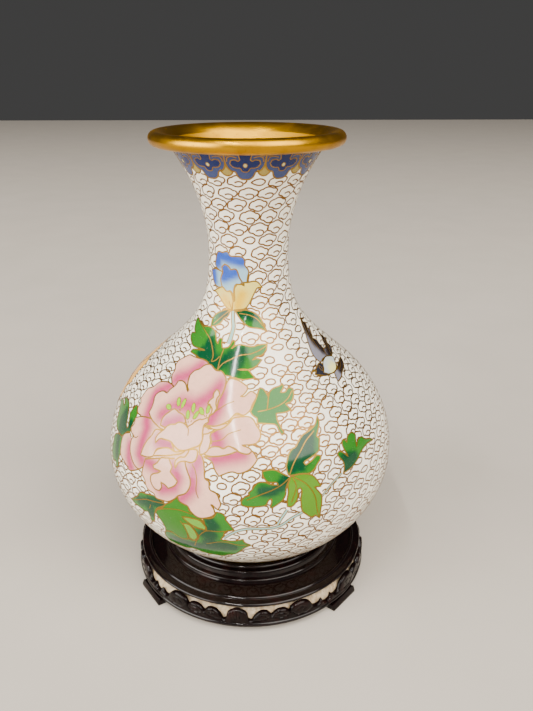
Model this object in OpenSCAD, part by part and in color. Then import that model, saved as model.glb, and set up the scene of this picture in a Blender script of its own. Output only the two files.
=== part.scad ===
// Cloisonne vase on a carved round stand.
// Origin: centre of the stand on the surface it rests on. +Z up, front towards -Y.
// Angles around the vase are degrees from the front, positive towards +X.

/* [Vase] */
// Height of the vase from its foot to the top of its lip
vase_h = 203; // [165:1:245]
// Diameter of the belly at its widest
belly_d = 136; // [112:1:165]
// Height of the widest line above the foot
belly_h = 57; // [50:1:70]
// Half height of the curve below the widest line
belly_low = 53; // [44:1:64]
// Half height of the curve above the widest line
belly_up = 60; // [50:1:72]
// Height at which the shoulder turns into the neck
shoulder_h = 100; // [92:1:104]
// Diameter of the neck at its narrowest
neck_d = 35.2; // [28:0.2:44]
// Height of the narrowest point of the neck, as a share of the vase's height
neck_share = 0.751; // [0.68:0.001:0.78]
// Outside diameter of the lip
lip_d = 82.2; // [68:0.2:100]
// Thickness of the rolled lip
lip_t = 6; // [4:0.2:8]
// Outside diameter of the foot ring
foot_d = 66; // [54:1:80]

/* [Walls] */
// Copper wall
copper_t = 0.8; // [0.5:0.1:1.2]
// Outer enamel
enamel_t = 0.8; // [0.5:0.1:1.2]
// Enamel on the inside and under the base
counter_t = 0.4; // [0.2:0.1:0.8]
// Wall of the foot ring
foot_wall = 3; // [2:0.1:4]
// Height of the base above the bottom of the foot ring
base_rise = 4; // [3:0.5:6]

/* [Collar] */
// Number of lappets under the lip
lappets = 12; // [8:1:14]
// How far the collar is turned
collar_turn = -1.8; // [-18:0.1:18]
// Height of the lappets down from the top of the wall
lappet_drop = 12; // [9:0.5:16]
// Diameter of the discs between the lappets
disc_d = 5; // [3:0.2:6]

/* [Stand] */
// Height of the seat floor
seat_z = 12.3; // [11.5:0.1:15]
// Gap left between the foot and the seat floor
rest_gap = 0.2; // [0.1:0.1:0.5]
// Gap around the foot ring inside the seat
seat_clear = 3; // [1:0.5:5]
// Gap between the crest of the seat ring and the belly over it
crest_gap = 3.5; // [2:0.5:6]
// Width of the stepped seat ring
seat_w = 11; // [8:0.5:14]
// Width of the sloping band outside the seat ring
band_w = 5.2; // [2:0.1:8]
// Width of the border outside the bead
border_w = 4.3; // [3:0.1:8]
// Thickness of the border
border_t = 1.8; // [1.2:0.1:3]
// Radius of the turned bead
bead_r = 0.7; // [0.4:0.1:1]
// Thickness of the panel under the vase
panel_t = 3; // [2:0.5:4]
// Height of the base ring above the table
ring_z = 3; // [1:0.5:4]
// Thickness of the base ring
ring_t = 2.5; // [2:0.5:4]
// Width of the base ring
ring_w = 5; // [4:0.5:8]
// How far the base ring stands out past the border
ring_out = 1.8; // [0:0.2:3]
// Thickness of the carved apron
apron_t = 2.2; // [1.5:0.1:3]
// Gap between the ends of two carved panels
apron_gap = 0.3; // [0.2:0.1:0.6]
// Width of a foot
foot_w = 18; // [12:1:24]
// How far a foot stands out past the base ring
foot_out = 1.2; // [1:0.2:8]
// Angle from the front of the stand to the middle of a front foot
foot_angle = 53; // [45:0.5:60]
// How far the carved panels are turned from the front
stand_turn = -7; // [-45:1:45]
// How far the four feet are turned
foot_turn = -4; // [-45:0.5:45]

/* [Hidden] */
$fn = 96;

// --- the vase's outline, as [radius, height above the foot] ---
belly_r = belly_d / 2;
neck_r = neck_d / 2;
foot_r = foot_d / 2;
lip_r = lip_t / 2;
lip_c = lip_d / 2 - lip_r;                  // radius of the lip's centre line
neck_h = neck_share * vase_h;
mouth_h = vase_h - 0.75 * lip_t;            // where the wall meets the lip
mouth_r = lip_c - 0.8 * lip_t;
foot_h = belly_height(foot_r);              // where the belly meets the foot ring
shoulder_x = (shoulder_h - belly_h) / belly_up;
shoulder_r = belly_r * sqrt(1 - shoulder_x * shoulder_x);
shoulder_slope = -belly_r * shoulder_x / belly_up / sqrt(1 - shoulder_x * shoulder_x);
neck_reach = (neck_h - shoulder_h) * 0.38;  // handle of the neck curve at the shoulder
waist_reach = (neck_h - shoulder_h) * 0.51; // handle of the neck curve at the narrow point
drawn_neck = 52.453;                        // height of the neck that the pictures are drawn for
neck_stretch = (neck_h - shoulder_h) / drawn_neck;
vase_z = seat_z + rest_gap;

function belly_height(r) = belly_h - belly_low * sqrt(1 - pow(r / belly_r, 2));
function belly_point(h, half) = [belly_r * sqrt(1 - pow((h - belly_h) / half, 2)), h];
function bezier(a, b, c, d, t) =
    pow(1 - t, 3) * a + 3 * pow(1 - t, 2) * t * b + 3 * (1 - t) * t * t * c + pow(t, 3) * d;
function neck_point(t) = bezier(
    [shoulder_r, shoulder_h],
    [shoulder_r + shoulder_slope * neck_reach, shoulder_h + neck_reach],
    [neck_r, neck_h - waist_reach],
    [neck_r, neck_h], t);
function flare_point(t) =
    [neck_r + (mouth_r - neck_r) * t * t, neck_h + (mouth_h - neck_h) * t];

low_steps = 10;
up_steps = 8;
neck_steps = 12;
flare_steps = 8;
LOW = [for (i = [0:low_steps]) belly_point(foot_h + (belly_h - foot_h) * sin(90 * i / low_steps), belly_low)];
UP = [for (i = [1:up_steps]) belly_point(belly_h + (shoulder_h - belly_h) * i / up_steps, belly_up)];
NECK = [for (i = [1:neck_steps]) neck_point(i / neck_steps)];
FLARE = [for (i = [1:flare_steps]) flare_point(i / flare_steps)];
LINE = concat(LOW, UP, NECK, FLARE);
LAST = len(LINE) - 1;
SPLIT = low_steps + up_steps;               // the seam between belly and neck

function unit(v) = v / norm(v);
function side(i) = let (d = unit(LINE[min(i + 1, LAST)] - LINE[max(i - 1, 0)])) [d[1], -d[0]];
// the outline moved inwards by t
function inward(t, first, last) = [for (i = [first:last]) LINE[i] - t * side(i)];
function backwards(list) = [for (i = [len(list) - 1:-1:0]) list[i]];
// radius of the outline at height h
function radius_at(h, i = 0) = (i >= LAST || LINE[i + 1][1] >= h)
    ? LINE[min(i, LAST)][0] + (LINE[min(i + 1, LAST)][0] - LINE[min(i, LAST)][0])
        * (h - LINE[min(i, LAST)][1]) / max(0.01, LINE[min(i + 1, LAST)][1] - LINE[min(i, LAST)][1])
    : radius_at(h, i + 1);
function arc(c, r, from, to, steps) =
    [for (i = [0:steps]) c + r * [cos(from + (to - from) * i / steps), sin(from + (to - from) * i / steps)]];

// --- the stand's sizes ---
recess_r = foot_r + seat_clear;
seat_r = recess_r + seat_w;                 // outside of the seat ring
bead_c = seat_r + band_w;                   // centre line of the bead
border_r = bead_c + border_w;               // outside of the top
top_z = seat_z + 2.7;                       // upper face of the border
crest_r = recess_r + 4.5;                   // crest of the seat ring
crest_z = vase_z + belly_height(crest_r + 1) - crest_gap;
ring_r = border_r + ring_out;
ring_top = ring_z + ring_t;
apron_top = top_z - border_t - 0.2;
panel_r = border_r - 6;

// --- helpers ---
module vase_place() {
    translate([0, 0, vase_z]) children();
}

// a ring of wall between two depths below the outline
module wall(from, to, first, last) {
    rotate_extrude() polygon(concat(inward(from, first, last), backwards(inward(to, first, last))));
}

// a straight prism that cuts an outline of [angle, height] points through the wall facing "facing"
module stamp(points, facing) {
    rotate([0, 0, facing]) rotate([90, 0, 0]) linear_extrude(height = belly_r + lip_d)
        polygon([for (p = points) [radius_at(p[1]) * sin(p[0] - facing), p[1]]]);
}

// enamel of the outer layer inside an outline
module inlay(points, facing, first, last) {
    intersection() {
        wall(0, enamel_t, first, last);
        stamp(points, facing);
    }
}

// --- outlines of the enamel pictures, as [degrees from the front, height above the foot] ---
// pictures above the shoulder keep their place on the neck
function on_neck(points) =
    [for (p = points) [p[0], shoulder_h + (p[1] - shoulder_h) * neck_stretch]];

PEONY = [
    [-53, 105], [-45, 110], [-36, 111], [-25, 110], [-15, 108], [-4, 108], [3, 103], [1, 97],
    [5, 91], [3, 81], [-4, 77], [-11, 76], [-13, 69], [-11, 62], [-16, 57.5], [-22, 60],
    [-28, 63], [-34, 61], [-40, 64], [-47, 69], [-57, 69], [-62, 76], [-63, 86], [-64, 96], [-55, 99]
];
PEONY_HEART = [[-44, 92], [-38, 94], [-28, 92], [-20, 94], [-17, 89], [-21, 84], [-31, 82], [-40, 85]];
UPPER_LEAF = on_neck([
    [-64, 124], [-46, 123], [-34, 121], [-27, 124], [-20, 121], [12, 119], [9, 113], [1, 109.5],
    [-10, 109.5], [-22, 112], [-36, 112.5], [-46, 112.8], [-58, 116]
]);
LEFT_LEAF = [[-78, 88], [-67, 91], [-65, 80], [-67, 66], [-73, 64], [-79, 77]];
LOWER_LEAF = [
    [-49, 55], [-43, 60], [-34, 58.5], [-27, 60], [-22, 57.5], [-16, 55], [-9, 57], [-4, 50],
    [-1, 43], [-9, 36], [-20, 32], [-32, 33], [-37, 41], [-45, 46]
];
RIGHT_LEAF = [
    [31, 93], [28, 80], [26, 60], [26, 52], [20, 56], [17, 64], [6, 63], [-3, 64.5],
    [0, 71], [7, 74], [14, 77], [15, 84], [22, 89]
];
SMALL_LEAF = [[38, 86], [45, 82], [56, 78], [48, 73], [39, 71], [35, 73], [36, 79]];
PALE_LEAF = [[5, 104], [12, 106], [23, 104], [22, 99], [15, 97], [11, 94], [9, 98], [6, 99]];
BUD = on_neck([
    [-58, 150], [-45, 156], [-27, 155.5], [-10, 153], [-2, 148], [-6, 142.5], [-14, 141],
    [-35, 136.5], [-50, 139]
]);
BUD_CALYX = on_neck([
    [-52, 137], [-37, 135.5], [-12, 140.5], [11, 141.5], [2, 135], [-12, 131], [-28, 131], [-42, 133]
]);
BUD_LEAF_RIGHT = on_neck([[-14, 129.8], [-3, 130], [8, 128], [17, 123], [2, 124], [-9, 126]]);
BUD_LEAF_LEFT = on_neck([[-25, 130], [-37, 128.5], [-44, 124.5], [-34, 125.5]]);
BUD_STEM = on_neck([[-22.5, 129.5], [-17.5, 129.5], [-18, 125], [-22, 125]]);
LOWER_STEM = [[-1, 49], [5, 51.5], [13, 56.5], [14, 55.5], [6, 50], [0, 47.5]];
BIRD = [[58, 121], [66, 115], [73, 108], [74, 103], [66, 101], [58, 103.5], [51, 105], [57, 113]];
YELLOW_FLOWER = [
    [-136, 84], [-133, 97], [-124, 104], [-112, 107], [-100, 105], [-90, 100], [-86, 92],
    [-89, 82], [-98, 75], [-110, 72], [-124, 75]
];
lappet_step = 360 / lappets;
lappet_low = mouth_h - lappet_drop;
LAPPET_HALF = [[1.06, 1], [0.97, 0.5], [0.8, 0.28], [0.55, 0.24], [0.4, 0.1], [0.2, 0]];
function lappet_outline(middle) = concat(
    [for (p = LAPPET_HALF) [middle + p[0] * lappet_step * 0.5, lappet_low + p[1] * (lappet_drop + 3)]],
    [for (p = backwards(LAPPET_HALF)) [middle - p[0] * lappet_step * 0.5, lappet_low + p[1] * (lappet_drop + 3)]]);

module lappet_stamps() {
    for (i = [0:lappets - 1]) {
        middle = collar_turn + i * lappet_step;
        stamp(lappet_outline(middle), middle);
    }
}

// a disc's outline runs up behind the lappets, so it fills the notch between two of them
disc_h = lappet_low + 4;
disc_half = asin(disc_d / 2 / radius_at(disc_h));
function disc_outline(middle) = concat(
    [for (a = [180:20:360]) [middle + disc_half * cos(a), disc_h + disc_d / 2 * sin(a)]],
    [[middle + disc_half, lappet_low + 10], [middle - disc_half, lappet_low + 10]]);

module disc_stamps() {
    for (i = [0.5:1:lappets - 0.5]) {
        middle = collar_turn + i * lappet_step;
        stamp(disc_outline(middle), middle);
    }
}

module belly_stamps() {
    stamp(PEONY, -30);
    stamp(LEFT_LEAF, -72);
    stamp(LOWER_LEAF, -26);
    stamp(RIGHT_LEAF, 14);
    stamp(SMALL_LEAF, 45);
    stamp(PALE_LEAF, 14);
    stamp(LOWER_STEM, 6);
    stamp(BIRD, 64);
    stamp(YELLOW_FLOWER, -110);
}

module neck_stamps() {
    stamp(PEONY, -30);
    stamp(UPPER_LEAF, -26);
    stamp(PALE_LEAF, 14);
    stamp(BUD, -30);
    stamp(BUD_CALYX, -20);
    stamp(BUD_LEAF_RIGHT, 0);
    stamp(BUD_LEAF_LEFT, -34);
    stamp(BUD_STEM, -20);
    stamp(BIRD, 64);
    stamp(YELLOW_FLOWER, -110);
}

// --- the vase: metal ---
module copper_belly() {
    color("peru") vase_place() wall(enamel_t, enamel_t + copper_t, 0, SPLIT);
}

module copper_neck() {
    color("gold") vase_place() wall(enamel_t, enamel_t + copper_t, SPLIT, LAST);
}

module lip_ring() {
    outer_end = LINE[LAST];
    inner_end = LINE[LAST] - (enamel_t + copper_t) * side(LAST);
    color("gold") vase_place() rotate_extrude() polygon(concat(
        [outer_end],
        arc([lip_c, vase_h - lip_r], lip_r, -100, 100, 16),
        [[lip_c - 0.75 * lip_r, vase_h - 0.1 * lip_t], [lip_c - 1.3 * lip_r, vase_h - 0.3 * lip_t]],
        [inner_end]));
}

module foot_ring() {
    color("gold") vase_place() rotate_extrude() polygon([
        [foot_r - foot_wall, 0], [foot_r - 0.6, 0], [foot_r, 0.6], [foot_r, foot_h],
        LINE[0] - (enamel_t + copper_t) * side(0), [foot_r - foot_wall, foot_h - 1]
    ]);
}

module base_disc() {
    color("peru") vase_place() translate([0, 0, base_rise])
        cylinder(r = foot_r - foot_wall, h = copper_t);
}

// --- the vase: enamel ---
module inner_enamel() {
    depth = enamel_t + copper_t;
    color("lightseagreen") vase_place() wall(depth, depth + counter_t, 0, SPLIT + 6);
}

module base_enamel() {
    color("lightseagreen") vase_place() translate([0, 0, base_rise - counter_t])
        cylinder(r = foot_r - foot_wall, h = counter_t);
}

module ground_belly() {
    color("white") vase_place() difference() {
        wall(0, enamel_t, 0, SPLIT);
        belly_stamps();
    }
}

module ground_neck() {
    color("white") vase_place() difference() {
        wall(0, enamel_t, SPLIT, LAST);
        neck_stamps();
        lappet_stamps();
        disc_stamps();
    }
}

module collar_lappets() {
    color("royalblue") vase_place() intersection() {
        wall(0, enamel_t, SPLIT, LAST);
        lappet_stamps();
    }
}

module collar_discs() {
    color("khaki") vase_place() difference() {
        intersection() {
            wall(0, enamel_t, SPLIT, LAST);
            disc_stamps();
        }
        lappet_stamps();
    }
}

module peony() {
    color("pink") vase_place() difference() {
        inlay(PEONY, -30, 0, LAST);
        stamp(PEONY_HEART, -30);
    }
}

module peony_heart() {
    color("hotpink") vase_place() inlay(PEONY_HEART, -30, 0, LAST);
}

module yellow_flower() {
    color("goldenrod") vase_place() inlay(YELLOW_FLOWER, -110, 0, LAST);
}

module bud() {
    color("cornflowerblue") vase_place() inlay(BUD, -30, SPLIT, LAST);
}

module bud_calyx() {
    color("khaki") vase_place() difference() {
        inlay(BUD_CALYX, -20, SPLIT, LAST);
        stamp(BUD, -30);
    }
}

module bud_leaves() {
    color("green") vase_place() {
        inlay(BUD_LEAF_RIGHT, 0, SPLIT, LAST);
        inlay(BUD_LEAF_LEFT, -34, SPLIT, LAST);
    }
}

module upper_leaf() {
    color("darkgreen") vase_place() difference() {
        inlay(UPPER_LEAF, -26, SPLIT, LAST);
        stamp(PEONY, -30);
    }
}

module left_leaf() {
    color("seagreen") vase_place() inlay(LEFT_LEAF, -72, 0, SPLIT);
}

module lower_leaf() {
    color("darkgreen") vase_place() difference() {
        inlay(LOWER_LEAF, -26, 0, SPLIT);
        stamp(PEONY, -30);
    }
}

module right_leaf() {
    color("forestgreen") vase_place() inlay(RIGHT_LEAF, 14, 0, SPLIT);
}

module small_leaf() {
    color("seagreen") vase_place() inlay(SMALL_LEAF, 45, 0, SPLIT);
}

module pale_leaf() {
    color("darkseagreen") vase_place() inlay(PALE_LEAF, 14, 0, LAST);
}

module stems() {
    color("lightblue") vase_place() {
        inlay(BUD_STEM, -20, SPLIT, LAST);
        inlay(LOWER_STEM, 6, 0, SPLIT);
    }
}

module bird() {
    color("slategray") vase_place() inlay(BIRD, 64, 0, LAST);
}

// --- the stand ---
module stand_panel() {
    color("#2a1512") translate([0, 0, seat_z - panel_t]) cylinder(r = panel_r, h = panel_t);
}

// the turned top: a sloping band, a bead and a flat border with a rounded edge
module stand_top() {
    edge = border_t / 2;
    color("#2a1512") rotate_extrude() polygon(concat(
        [[recess_r, seat_z], [panel_r, seat_z], [panel_r, top_z - border_t], [border_r - edge, top_z - border_t]],
        arc([border_r - edge, top_z - edge], edge, -60, 90, 8),
        arc([bead_c, top_z], bead_r, 0, 180, 8),
        [[bead_c - bead_r, top_z + 0.3], [seat_r - 1, top_z + 2], [recess_r, top_z + 2]]));
}

// three turned steps that fall outwards from the crest
module stand_seat_ring() {
    low = top_z + 2;
    step = (crest_z - low) / 3;
    round_r = min(0.8, 0.4 * step);
    crest_round = min(0.9, 0.45 * step);
    color("#2a1512") rotate_extrude() polygon(concat(
        [[recess_r, low], [seat_r - 1, low]],
        arc([seat_r - 1.8, low + 0.5 * step], round_r, -60, 110, 5),
        arc([seat_r - 4.2, low + 1.7 * step], round_r, -30, 120, 5),
        arc([crest_r, crest_z - crest_round], crest_round, 0, 150, 5),
        [[recess_r + 1.4, crest_z - 0.6 * step], [recess_r, crest_z - 1.5 * step]]));
}

// the unlacquered ring behind the carving
module stand_waist() {
    color("burlywood") rotate_extrude() polygon([
        [panel_r - 4, ring_top], [ring_r - apron_t - 0.4, ring_top],
        [ring_r - apron_t - 0.4, ring_top + 3.5],
        [max(ring_r - apron_t - 4, panel_r + 0.5), top_z - border_t - 1.2],
        [panel_r, top_z - border_t - 1.2], [panel_r, seat_z - panel_t],
        [panel_r - 4, seat_z - panel_t]
    ]);
}

module stand_base_ring() {
    edge = ring_t / 2;
    color("#2a1512") rotate_extrude() polygon(concat(
        [[ring_r - ring_w, ring_z]],
        arc([ring_r - edge, ring_z + edge], edge, -90, 90, 10),
        [[ring_r - ring_w, ring_top]]));
}

// half of a panel's top edge, as [degrees from the panel's middle, share of the apron's height]
EDGE = [
    [0, 1], [2, 0.86], [4.5, 0.62], [5.2, 0.2], [6.6, 0.1], [8, 0.45], [10, 0.72], [12, 0.8], [14, 0.74],
    [16, 0.42], [17.6, 0.68], [20, 0.78], [22.5, 0.74], [24.5, 0.5], [25.5, 0.8], [28, 0.98], [32, 0.98],
    [35, 0.72], [37, 0.3], [40, 0.24], [42, 0.5], [43, 0.16], [45, 0.12]
];
panel_edge = concat([for (i = [len(EDGE) - 1:-1:1]) [-EDGE[i][0], EDGE[i][1]]], EDGE);

// one carved panel: a curved plate with a lobed top edge, mitred at both ends, between two feet
module apron(facing) {
    height = apron_top - ring_top;
    mitre = 45 - asin(apron_gap / 2 / ring_r);
    corner = 2 * ring_r * [sin(mitre), cos(mitre)];
    end = panel_edge[len(panel_edge) - 1][0];
    color("#3a1d16") rotate([0, 0, facing]) intersection() {
        rotate_extrude() translate([ring_r - apron_t - 0.3, ring_top]) square([apron_t, height]);
        rotate([90, 0, 0]) linear_extrude(height = 2 * ring_r) polygon(concat(
            [[-ring_r * sin(end), ring_top - 1]],
            [for (p = panel_edge) [ring_r * sin(p[0]), ring_top + p[1] * height]],
            [[ring_r * sin(end), ring_top - 1]]));
        linear_extrude(height = top_z) polygon([[0, 0], -corner, [corner[0], -corner[1]]]);
    }
}

// a foot: a wedge that slopes out from under the base ring to the table
module foot(facing) {
    color("#3a1d16") rotate([0, 0, facing]) rotate([90, 0, 90]) translate([0, 0, -foot_w / 2])
        linear_extrude(height = foot_w) polygon([
            [-(ring_r + foot_out), 0], [-(ring_r - 7), 0], [-(ring_r - 7), ring_z],
            [-ring_r, ring_z], [-(ring_r + 0.2), ring_z + 0.8], [-(ring_r + foot_out), 1.2]
        ]);
}

copper_belly();
copper_neck();
lip_ring();
foot_ring();
base_disc();
inner_enamel();
base_enamel();
ground_belly();
ground_neck();
collar_lappets();
collar_discs();
peony();
peony_heart();
yellow_flower();
bud();
bud_calyx();
bud_leaves();
upper_leaf();
left_leaf();
lower_leaf();
right_leaf();
small_leaf();
pale_leaf();
stems();
bird();
stand_panel();
stand_top();
stand_seat_ring();
stand_waist();
stand_base_ring();
apron(stand_turn);  // apron_front
apron(stand_turn + 90);  // apron_right
apron(stand_turn + 180);  // apron_back
apron(stand_turn + 270);  // apron_left
foot(foot_turn + foot_angle);  // foot_front_right
foot(foot_turn + 180 - foot_angle);  // foot_back_right
foot(foot_turn + 180 + foot_angle);  // foot_back_left
foot(foot_turn - foot_angle);  // foot_front_left
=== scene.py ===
import math
import random

import bpy
import numpy as np
from mathutils import Matrix, Vector
from mathutils.geometry import delaunay_2d_cdt


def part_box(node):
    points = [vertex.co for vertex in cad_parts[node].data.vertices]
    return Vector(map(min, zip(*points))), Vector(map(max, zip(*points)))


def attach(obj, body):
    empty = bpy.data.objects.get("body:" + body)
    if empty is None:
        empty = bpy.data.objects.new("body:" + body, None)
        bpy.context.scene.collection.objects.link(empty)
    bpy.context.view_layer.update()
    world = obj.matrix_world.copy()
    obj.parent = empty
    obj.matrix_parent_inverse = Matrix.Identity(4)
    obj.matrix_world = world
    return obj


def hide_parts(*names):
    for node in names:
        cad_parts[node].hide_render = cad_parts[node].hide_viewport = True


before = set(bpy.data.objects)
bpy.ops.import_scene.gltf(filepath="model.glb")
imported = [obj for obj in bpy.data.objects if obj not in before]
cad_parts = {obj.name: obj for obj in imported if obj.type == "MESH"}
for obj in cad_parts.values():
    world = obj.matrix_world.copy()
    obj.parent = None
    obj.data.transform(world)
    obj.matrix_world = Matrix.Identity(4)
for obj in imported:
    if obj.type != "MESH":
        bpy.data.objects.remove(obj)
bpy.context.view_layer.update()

# Lengths are millimetres until a mesh is made, and MM turns them into metres.
# Angles round the vase are degrees from the front, positive towards +X.
MM = 0.001


def box_mm(node):
    low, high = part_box(node)
    return low / MM, high / MM


# ---------------------------------------------------------------- sizes from the frame
VASE_Z = box_mm("foot_ring")[0].z                 # the vase stands this high in its seat
VASE_H = box_mm("lip_ring")[1].z - VASE_Z
BELLY_R = box_mm("ground_belly")[1].x
SHOULDER_H = box_mm("ground_neck")[0].z - VASE_Z
LIP_R = box_mm("lip_ring")[1].x
FOOT_R = box_mm("foot_ring")[1].x
LIP_T = 6.0
BELLY_H = 57.0                                    # height of the widest line above the foot
BELLY_LOW = 53.0                                  # half height of the curve below it
BELLY_UP = 60.0                                   # half height of the curve above it
NECK_R = 17.6
NECK_H = 0.751 * VASE_H
LIP_CENTRE = LIP_R - LIP_T / 2
MOUTH_H = VASE_H - 0.75 * LIP_T
MOUTH_R = LIP_CENTRE - 0.8 * LIP_T
ENAMEL_T = 0.8
COPPER_T = 0.8
FOOT_H = BELLY_H - BELLY_LOW * math.sqrt(1 - (FOOT_R / BELLY_R) ** 2)

TOP_LOW, TOP_HIGH = box_mm("stand_top")
BORDER_R = TOP_HIGH.x
SEAT_HIGH = box_mm("stand_seat_ring")[1]
SEAT_R = SEAT_HIGH.x
CREST_Z = SEAT_HIGH.z
SEAT_CLEAR = 3.0                                  # gap round the foot ring inside the seat
SEAT_RISE = 0.9                                   # height of the seat floor over the top's underside
RECESS_R = FOOT_R + SEAT_CLEAR
SEAT_Z = TOP_LOW.z + SEAT_RISE
TOP_Z = 15.0                                      # height of the flat border round the bead
CREST_R = 40.5                                    # radius of the seat ring's crest
BEAD_C = 52.2                                     # radius at the middle of the turned bead
PANEL_R = 50.5                                    # inner radius of the border's underside
RING_W = 5.0                                      # width of the base ring
WAIST_IN = 46.5                                   # inner radius of the waist ring
RING_LOW, RING_HIGH = box_mm("stand_base_ring")
RING_R = RING_HIGH.x
WAIST_LOW, WAIST_HIGH = box_mm("stand_waist")
STAND_TURN = -7.0
FOOT_TURN = -4.0
FOOT_W = 18.0

CLOUD_W = 0.7                                     # width of the wires of the cloud ground
LINE_W = 0.62                                     # width of the wires round a picture's parts
DOT_WIRE_W = 0.3                                  # width of the wires round dots and stamens
VEIN_W = 0.42                                     # width of the wires inside a part
PROUD = 0.03                                      # how far a wire stands over its enamel
GOLD_TINT = (1.0, 1.0, 1.0)                       # wires take their colour from their material
LAYER = 0.02                                      # how far one enamel fill stands over the next


# ---------------------------------------------------------------- the vase's outline
def bezier(points, t):
    a, b, c, d = (np.array(p, float) for p in points)
    t = np.asarray(t, float)[:, None]
    return (1 - t) ** 3 * a + 3 * (1 - t) ** 2 * t * b + 3 * (1 - t) * t * t * c + t ** 3 * d


def outline_curve():
    """The outer wall from foot to mouth as (height above the foot, radius)."""
    low = BELLY_H - (BELLY_H - FOOT_H) * np.cos(np.linspace(0, math.pi / 2, 60))
    up = np.linspace(BELLY_H, SHOULDER_H, 50)[1:]
    low_r = BELLY_R * np.sqrt(1 - ((low - BELLY_H) / BELLY_LOW) ** 2)
    up_r = BELLY_R * np.sqrt(1 - ((up - BELLY_H) / BELLY_UP) ** 2)
    x = (SHOULDER_H - BELLY_H) / BELLY_UP
    slope = -BELLY_R * x / BELLY_UP / math.sqrt(1 - x * x)
    handle = (NECK_H - SHOULDER_H) * 0.38
    reach = (NECK_H - SHOULDER_H) * 0.51
    start = (SHOULDER_H, up_r[-1])
    neck = bezier([start, (SHOULDER_H + handle, up_r[-1] + slope * handle),
                   (NECK_H - reach, NECK_R), (NECK_H, NECK_R)], np.linspace(0, 1, 80)[1:])
    t = np.linspace(0, 1, 60)[1:]
    flare = np.column_stack([NECK_H + (MOUTH_H - NECK_H) * t, NECK_R + (MOUTH_R - NECK_R) * t * t])
    return np.vstack([np.column_stack([low, low_r]), np.column_stack([up, up_r]), neck, flare])


OUTLINE = outline_curve()
OUTLINE_SLOPE = np.gradient(OUTLINE[:, 1], OUTLINE[:, 0])
OUTLINE_SLOPE = np.clip(OUTLINE_SLOPE, -6, 6)


def wall_radius(height):
    return np.interp(height, OUTLINE[:, 0], OUTLINE[:, 1])


def on_wall(points, out=0.0):
    """(degrees, height above the foot) points as places in mm, raised "out" over the outer wall."""
    points = np.asarray(points, float).reshape(-1, 2)
    angle = np.radians(points[:, 0])
    height = points[:, 1]
    radius = wall_radius(height)
    slope = np.interp(height, OUTLINE[:, 0], OUTLINE_SLOPE)
    length = np.sqrt(1 + slope ** 2)
    radius = radius + out / length
    z = height + VASE_Z - out * slope / length
    return np.column_stack([radius * np.sin(angle), -radius * np.cos(angle), z])


def wall_normal(points):
    return on_wall(points, 1.0) - on_wall(points, 0.0)


def wall_scale(height):
    """Millimetres on the wall for one degree round it and for one millimetre of height."""
    return np.array([math.radians(float(wall_radius(height))), 1.0])


def oval(centre, wide, tall, count):
    """A closed oval of (degrees, height) points."""
    turns = np.linspace(0, 2 * math.pi, count + 1)[:-1]
    return [(centre[0] + wide * math.cos(a), centre[1] + tall * math.sin(a)) for a in turns]


# ---------------------------------------------------------------- flat shapes
def smooth_line(points, closed, steps=4, corner=58):
    """A curve through the points, left sharp wherever it turns by more than "corner" degrees."""
    p = np.asarray(points, float)
    n = len(p)
    scale = wall_scale(p[:, 1].mean())
    curve = []
    for i in range(n if closed else n - 1):
        a, b = p[i], p[(i + 1) % n]
        tangents = []
        for k in (i, (i + 1) % n):
            here = p[k]
            chord = b - a
            if not closed and k in (0, n - 1):
                tangents.append(chord)
                continue
            before, after = here - p[k - 1], p[(k + 1) % n] - here
            u, v = before * scale, after * scale
            cosine = u @ v / max(1e-9, np.linalg.norm(u) * np.linalg.norm(v))
            if cosine < math.cos(math.radians(corner)):
                tangents.append(chord)
            else:
                even = (before + after) / 2
                size = np.linalg.norm(chord * scale) / max(1e-9, np.linalg.norm(even * scale))
                tangents.append(even * min(size, 1.6))
        for t in np.arange(steps) / steps:
            h = (2 * t ** 3 - 3 * t * t + 1, t ** 3 - 2 * t * t + t, 3 * t * t - 2 * t ** 3, t ** 3 - t * t)
            curve.append(h[0] * a + h[1] * tangents[0] + h[2] * b + h[3] * tangents[1])
    if not closed:
        curve.append(p[-1])
    return np.array(curve)


def inside(points, outline):
    """True for each point that lies inside the closed outline."""
    p = np.asarray(points, float)
    a = np.asarray(outline, float)
    b = np.roll(a, -1, axis=0)
    x, y = p[:, 0][:, None], p[:, 1][:, None]
    crosses = (a[:, 1] > y) != (b[:, 1] > y)
    rise = np.where(b[:, 1] == a[:, 1], 1e-9, b[:, 1] - a[:, 1])
    at = a[:, 0] + (y - a[:, 1]) * (b[:, 0] - a[:, 0]) / rise
    return (crosses & (x < at)).sum(1) % 2 == 1


def distance_to(points, line, closed=False):
    """Distance from each point to a line of points, in mm on the wall."""
    p = np.asarray(points, float)
    q = np.asarray(line, float)
    scale = wall_scale(q[:, 1].mean())
    p, q = p * scale, q * scale
    ends = np.roll(q, -1, axis=0) if closed else q[1:]
    starts = q if closed else q[:-1]
    if len(starts) == 0:
        return np.linalg.norm(p - q[0], axis=1)
    along = ends - starts
    t = ((p[:, None] - starts) * along).sum(2) / np.maximum(1e-9, (along ** 2).sum(1))
    foot = starts + np.clip(t, 0, 1)[..., None] * along
    return np.linalg.norm(p[:, None] - foot, axis=2).min(1)


def smoothstep(low, high, x):
    t = np.clip((x - low) / (high - low), 0, 1)
    return t * t * (3 - 2 * t)


def srgb(code):
    """A colour written as six hex digits, as linear red, green and blue."""
    parts = [int(code[i:i + 2], 16) / 255 for i in (0, 2, 4)]
    return np.array([c / 12.92 if c <= 0.04045 else ((c + 0.055) / 1.055) ** 2.4 for c in parts])


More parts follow.
